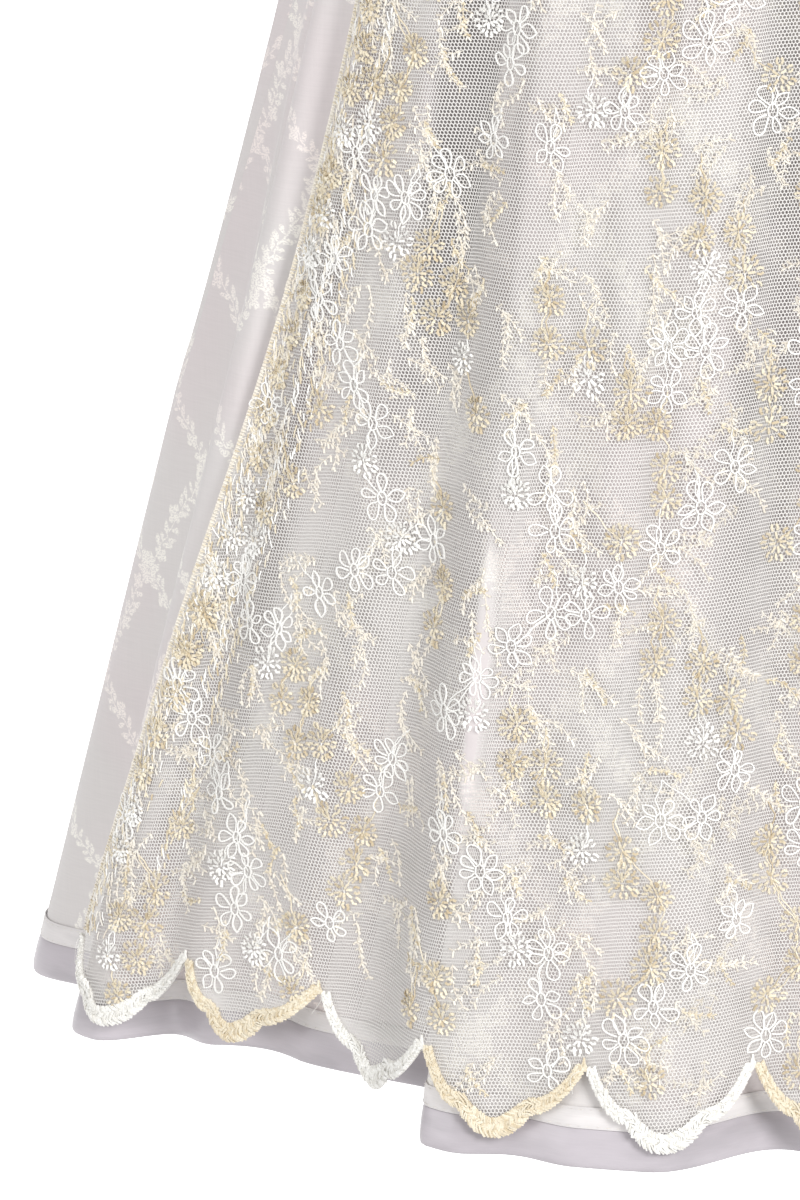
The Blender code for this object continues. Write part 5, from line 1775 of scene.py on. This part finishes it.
def lay_seam(stitches, angles, heights, lift, length=0.0021, pitch=0.0031):
    """A row of stitches along a line on the bodice."""
    points = bodice_surface(angles, heights)
    run = running_length(points[None])[0]
    for start in np.arange(0.0, run[-1] - length, pitch):
        spots = start + length * np.array([0.0, 0.5, 1.0])
        stitches.lay(np.interp(spots, run, angles), np.interp(spots, run, heights), 0.00019, lift)


class DRESS_OT_buttons(bpy.types.Operator):
    """Five domed metal buttons down the centre front"""
    bl_idname = "dress.buttons"
    bl_label = "Buttons"

    def execute(self, context):
        metal = metal_material(context.scene.dress_colours.metal)
        for k, height in enumerate(np.linspace(PLACKET_LOW + BUTTON_INSET, CHEST_HEIGHT, BUTTONS)):
            angle = np.float64(0.0)
            way = Vector(bodice_way_out(angle, height))
            seat = Vector(bodice_surface(angle, height)) + way * (PLACKET_FACE + 0.0002)
            piece = make_button("button_dome_%d" % (k + 1), seat, way, metal)
            finish_piece(piece, "button_metal", "button_%d" % (k + 1))
        return {"FINISHED"}


Step = namedtuple("Step", "inset rise")

# How a button's face steps in and up from its edge to the top of its dome, in mm
BUTTON_STEPS = (
    Step(inset=0.12, rise=0.16), Step(inset=0.20, rise=0.07), Step(inset=0.45, rise=0.0),
    Step(inset=0.12, rise=-0.14), Step(inset=0.14, rise=0.14), Step(inset=0.30, rise=0.48),
    Step(inset=0.55, rise=0.46), Step(inset=0.75, rise=0.38), Step(inset=0.90, rise=0.24),
    Step(inset=0.90, rise=0.10),
)


def make_button(name, seat, way, metal):
    bpy.ops.object.select_all(action="DESELECT")
    bpy.ops.mesh.primitive_cylinder_add(vertices=40, radius=BUTTON_RADIUS, depth=0.001)
    button = bpy.context.object
    button.name = name
    for face in button.data.polygons:
        face.select = face.normal.z > 0.9
    for edge in button.data.edges:
        edge.select = False
    for vertex in button.data.vertices:
        vertex.select = vertex.co.z > 0.0
    bpy.ops.object.mode_set(mode="EDIT")
    bpy.ops.mesh.select_mode(type="FACE")
    for step in BUTTON_STEPS:
        bpy.ops.mesh.inset(thickness=0.001 * step.inset, depth=0.001 * step.rise)
    bpy.ops.object.mode_set(mode="OBJECT")
    place = way.to_track_quat("Z", "Y").to_matrix().to_4x4()
    place.translation = seat + way * 0.0005
    button.data.transform(place)
    button.data.materials.append(metal)
    button.data.shade_smooth()
    button.data.set_sharp_from_angle(angle=math.radians(50.0))
    return button


PIECE_OPERATORS = (DRESS_OT_stage, DRESS_OT_skirt, DRESS_OT_hem_trims, DRESS_OT_apron_net,
                   DRESS_OT_apron_lace, DRESS_OT_scallops, DRESS_OT_bodice, DRESS_OT_buttons,
                   DRESS_OT_band_and_bow)


class DRESS_PT_panel(bpy.types.Panel):
    """The dress's sizes, colours and pieces"""
    bl_idname = "DRESS_PT_panel"
    bl_label = "Dirndl dress"
    bl_space_type = "VIEW_3D"
    bl_region_type = "UI"
    bl_category = "Dress"

    def draw(self, context):
        scene = context.scene
        for group in (scene.dress_sizes, scene.dress_colours):
            column = self.layout.column(align=True)
            for name in type(group).__annotations__:
                column.prop(group, name)
        column = self.layout.column(align=True)
        for operator in PIECE_OPERATORS:
            column.operator(operator.bl_idname)


CLASSES = (DressSizes, DressColours, *PIECE_OPERATORS, DRESS_PT_panel)


def register():
    for item in CLASSES:
        bpy.utils.register_class(item)
    bpy.types.Scene.dress_sizes = bpy.props.PointerProperty(type=DressSizes)
    bpy.types.Scene.dress_colours = bpy.props.PointerProperty(type=DressColours)


def unregister():
    del bpy.types.Scene.dress_colours
    del bpy.types.Scene.dress_sizes
    for item in reversed(CLASSES):
        bpy.utils.unregister_class(item)


def make_node_groups():
    make_weave_group()
    make_twist_group()
    make_net_group()
    make_sprig_group()
    make_trellis_group()


def main():
    register()
    make_node_groups()
    bpy.ops.dress.stage()
    bpy.ops.dress.skirt()
    bpy.ops.dress.hem_trims()
    bpy.ops.dress.apron_net()
    bpy.ops.dress.apron_lace()
    bpy.ops.dress.scallops()
    bpy.ops.dress.bodice()
    bpy.ops.dress.buttons()
    bpy.ops.dress.band_and_bow()


if __name__ == "__main__":
    main()
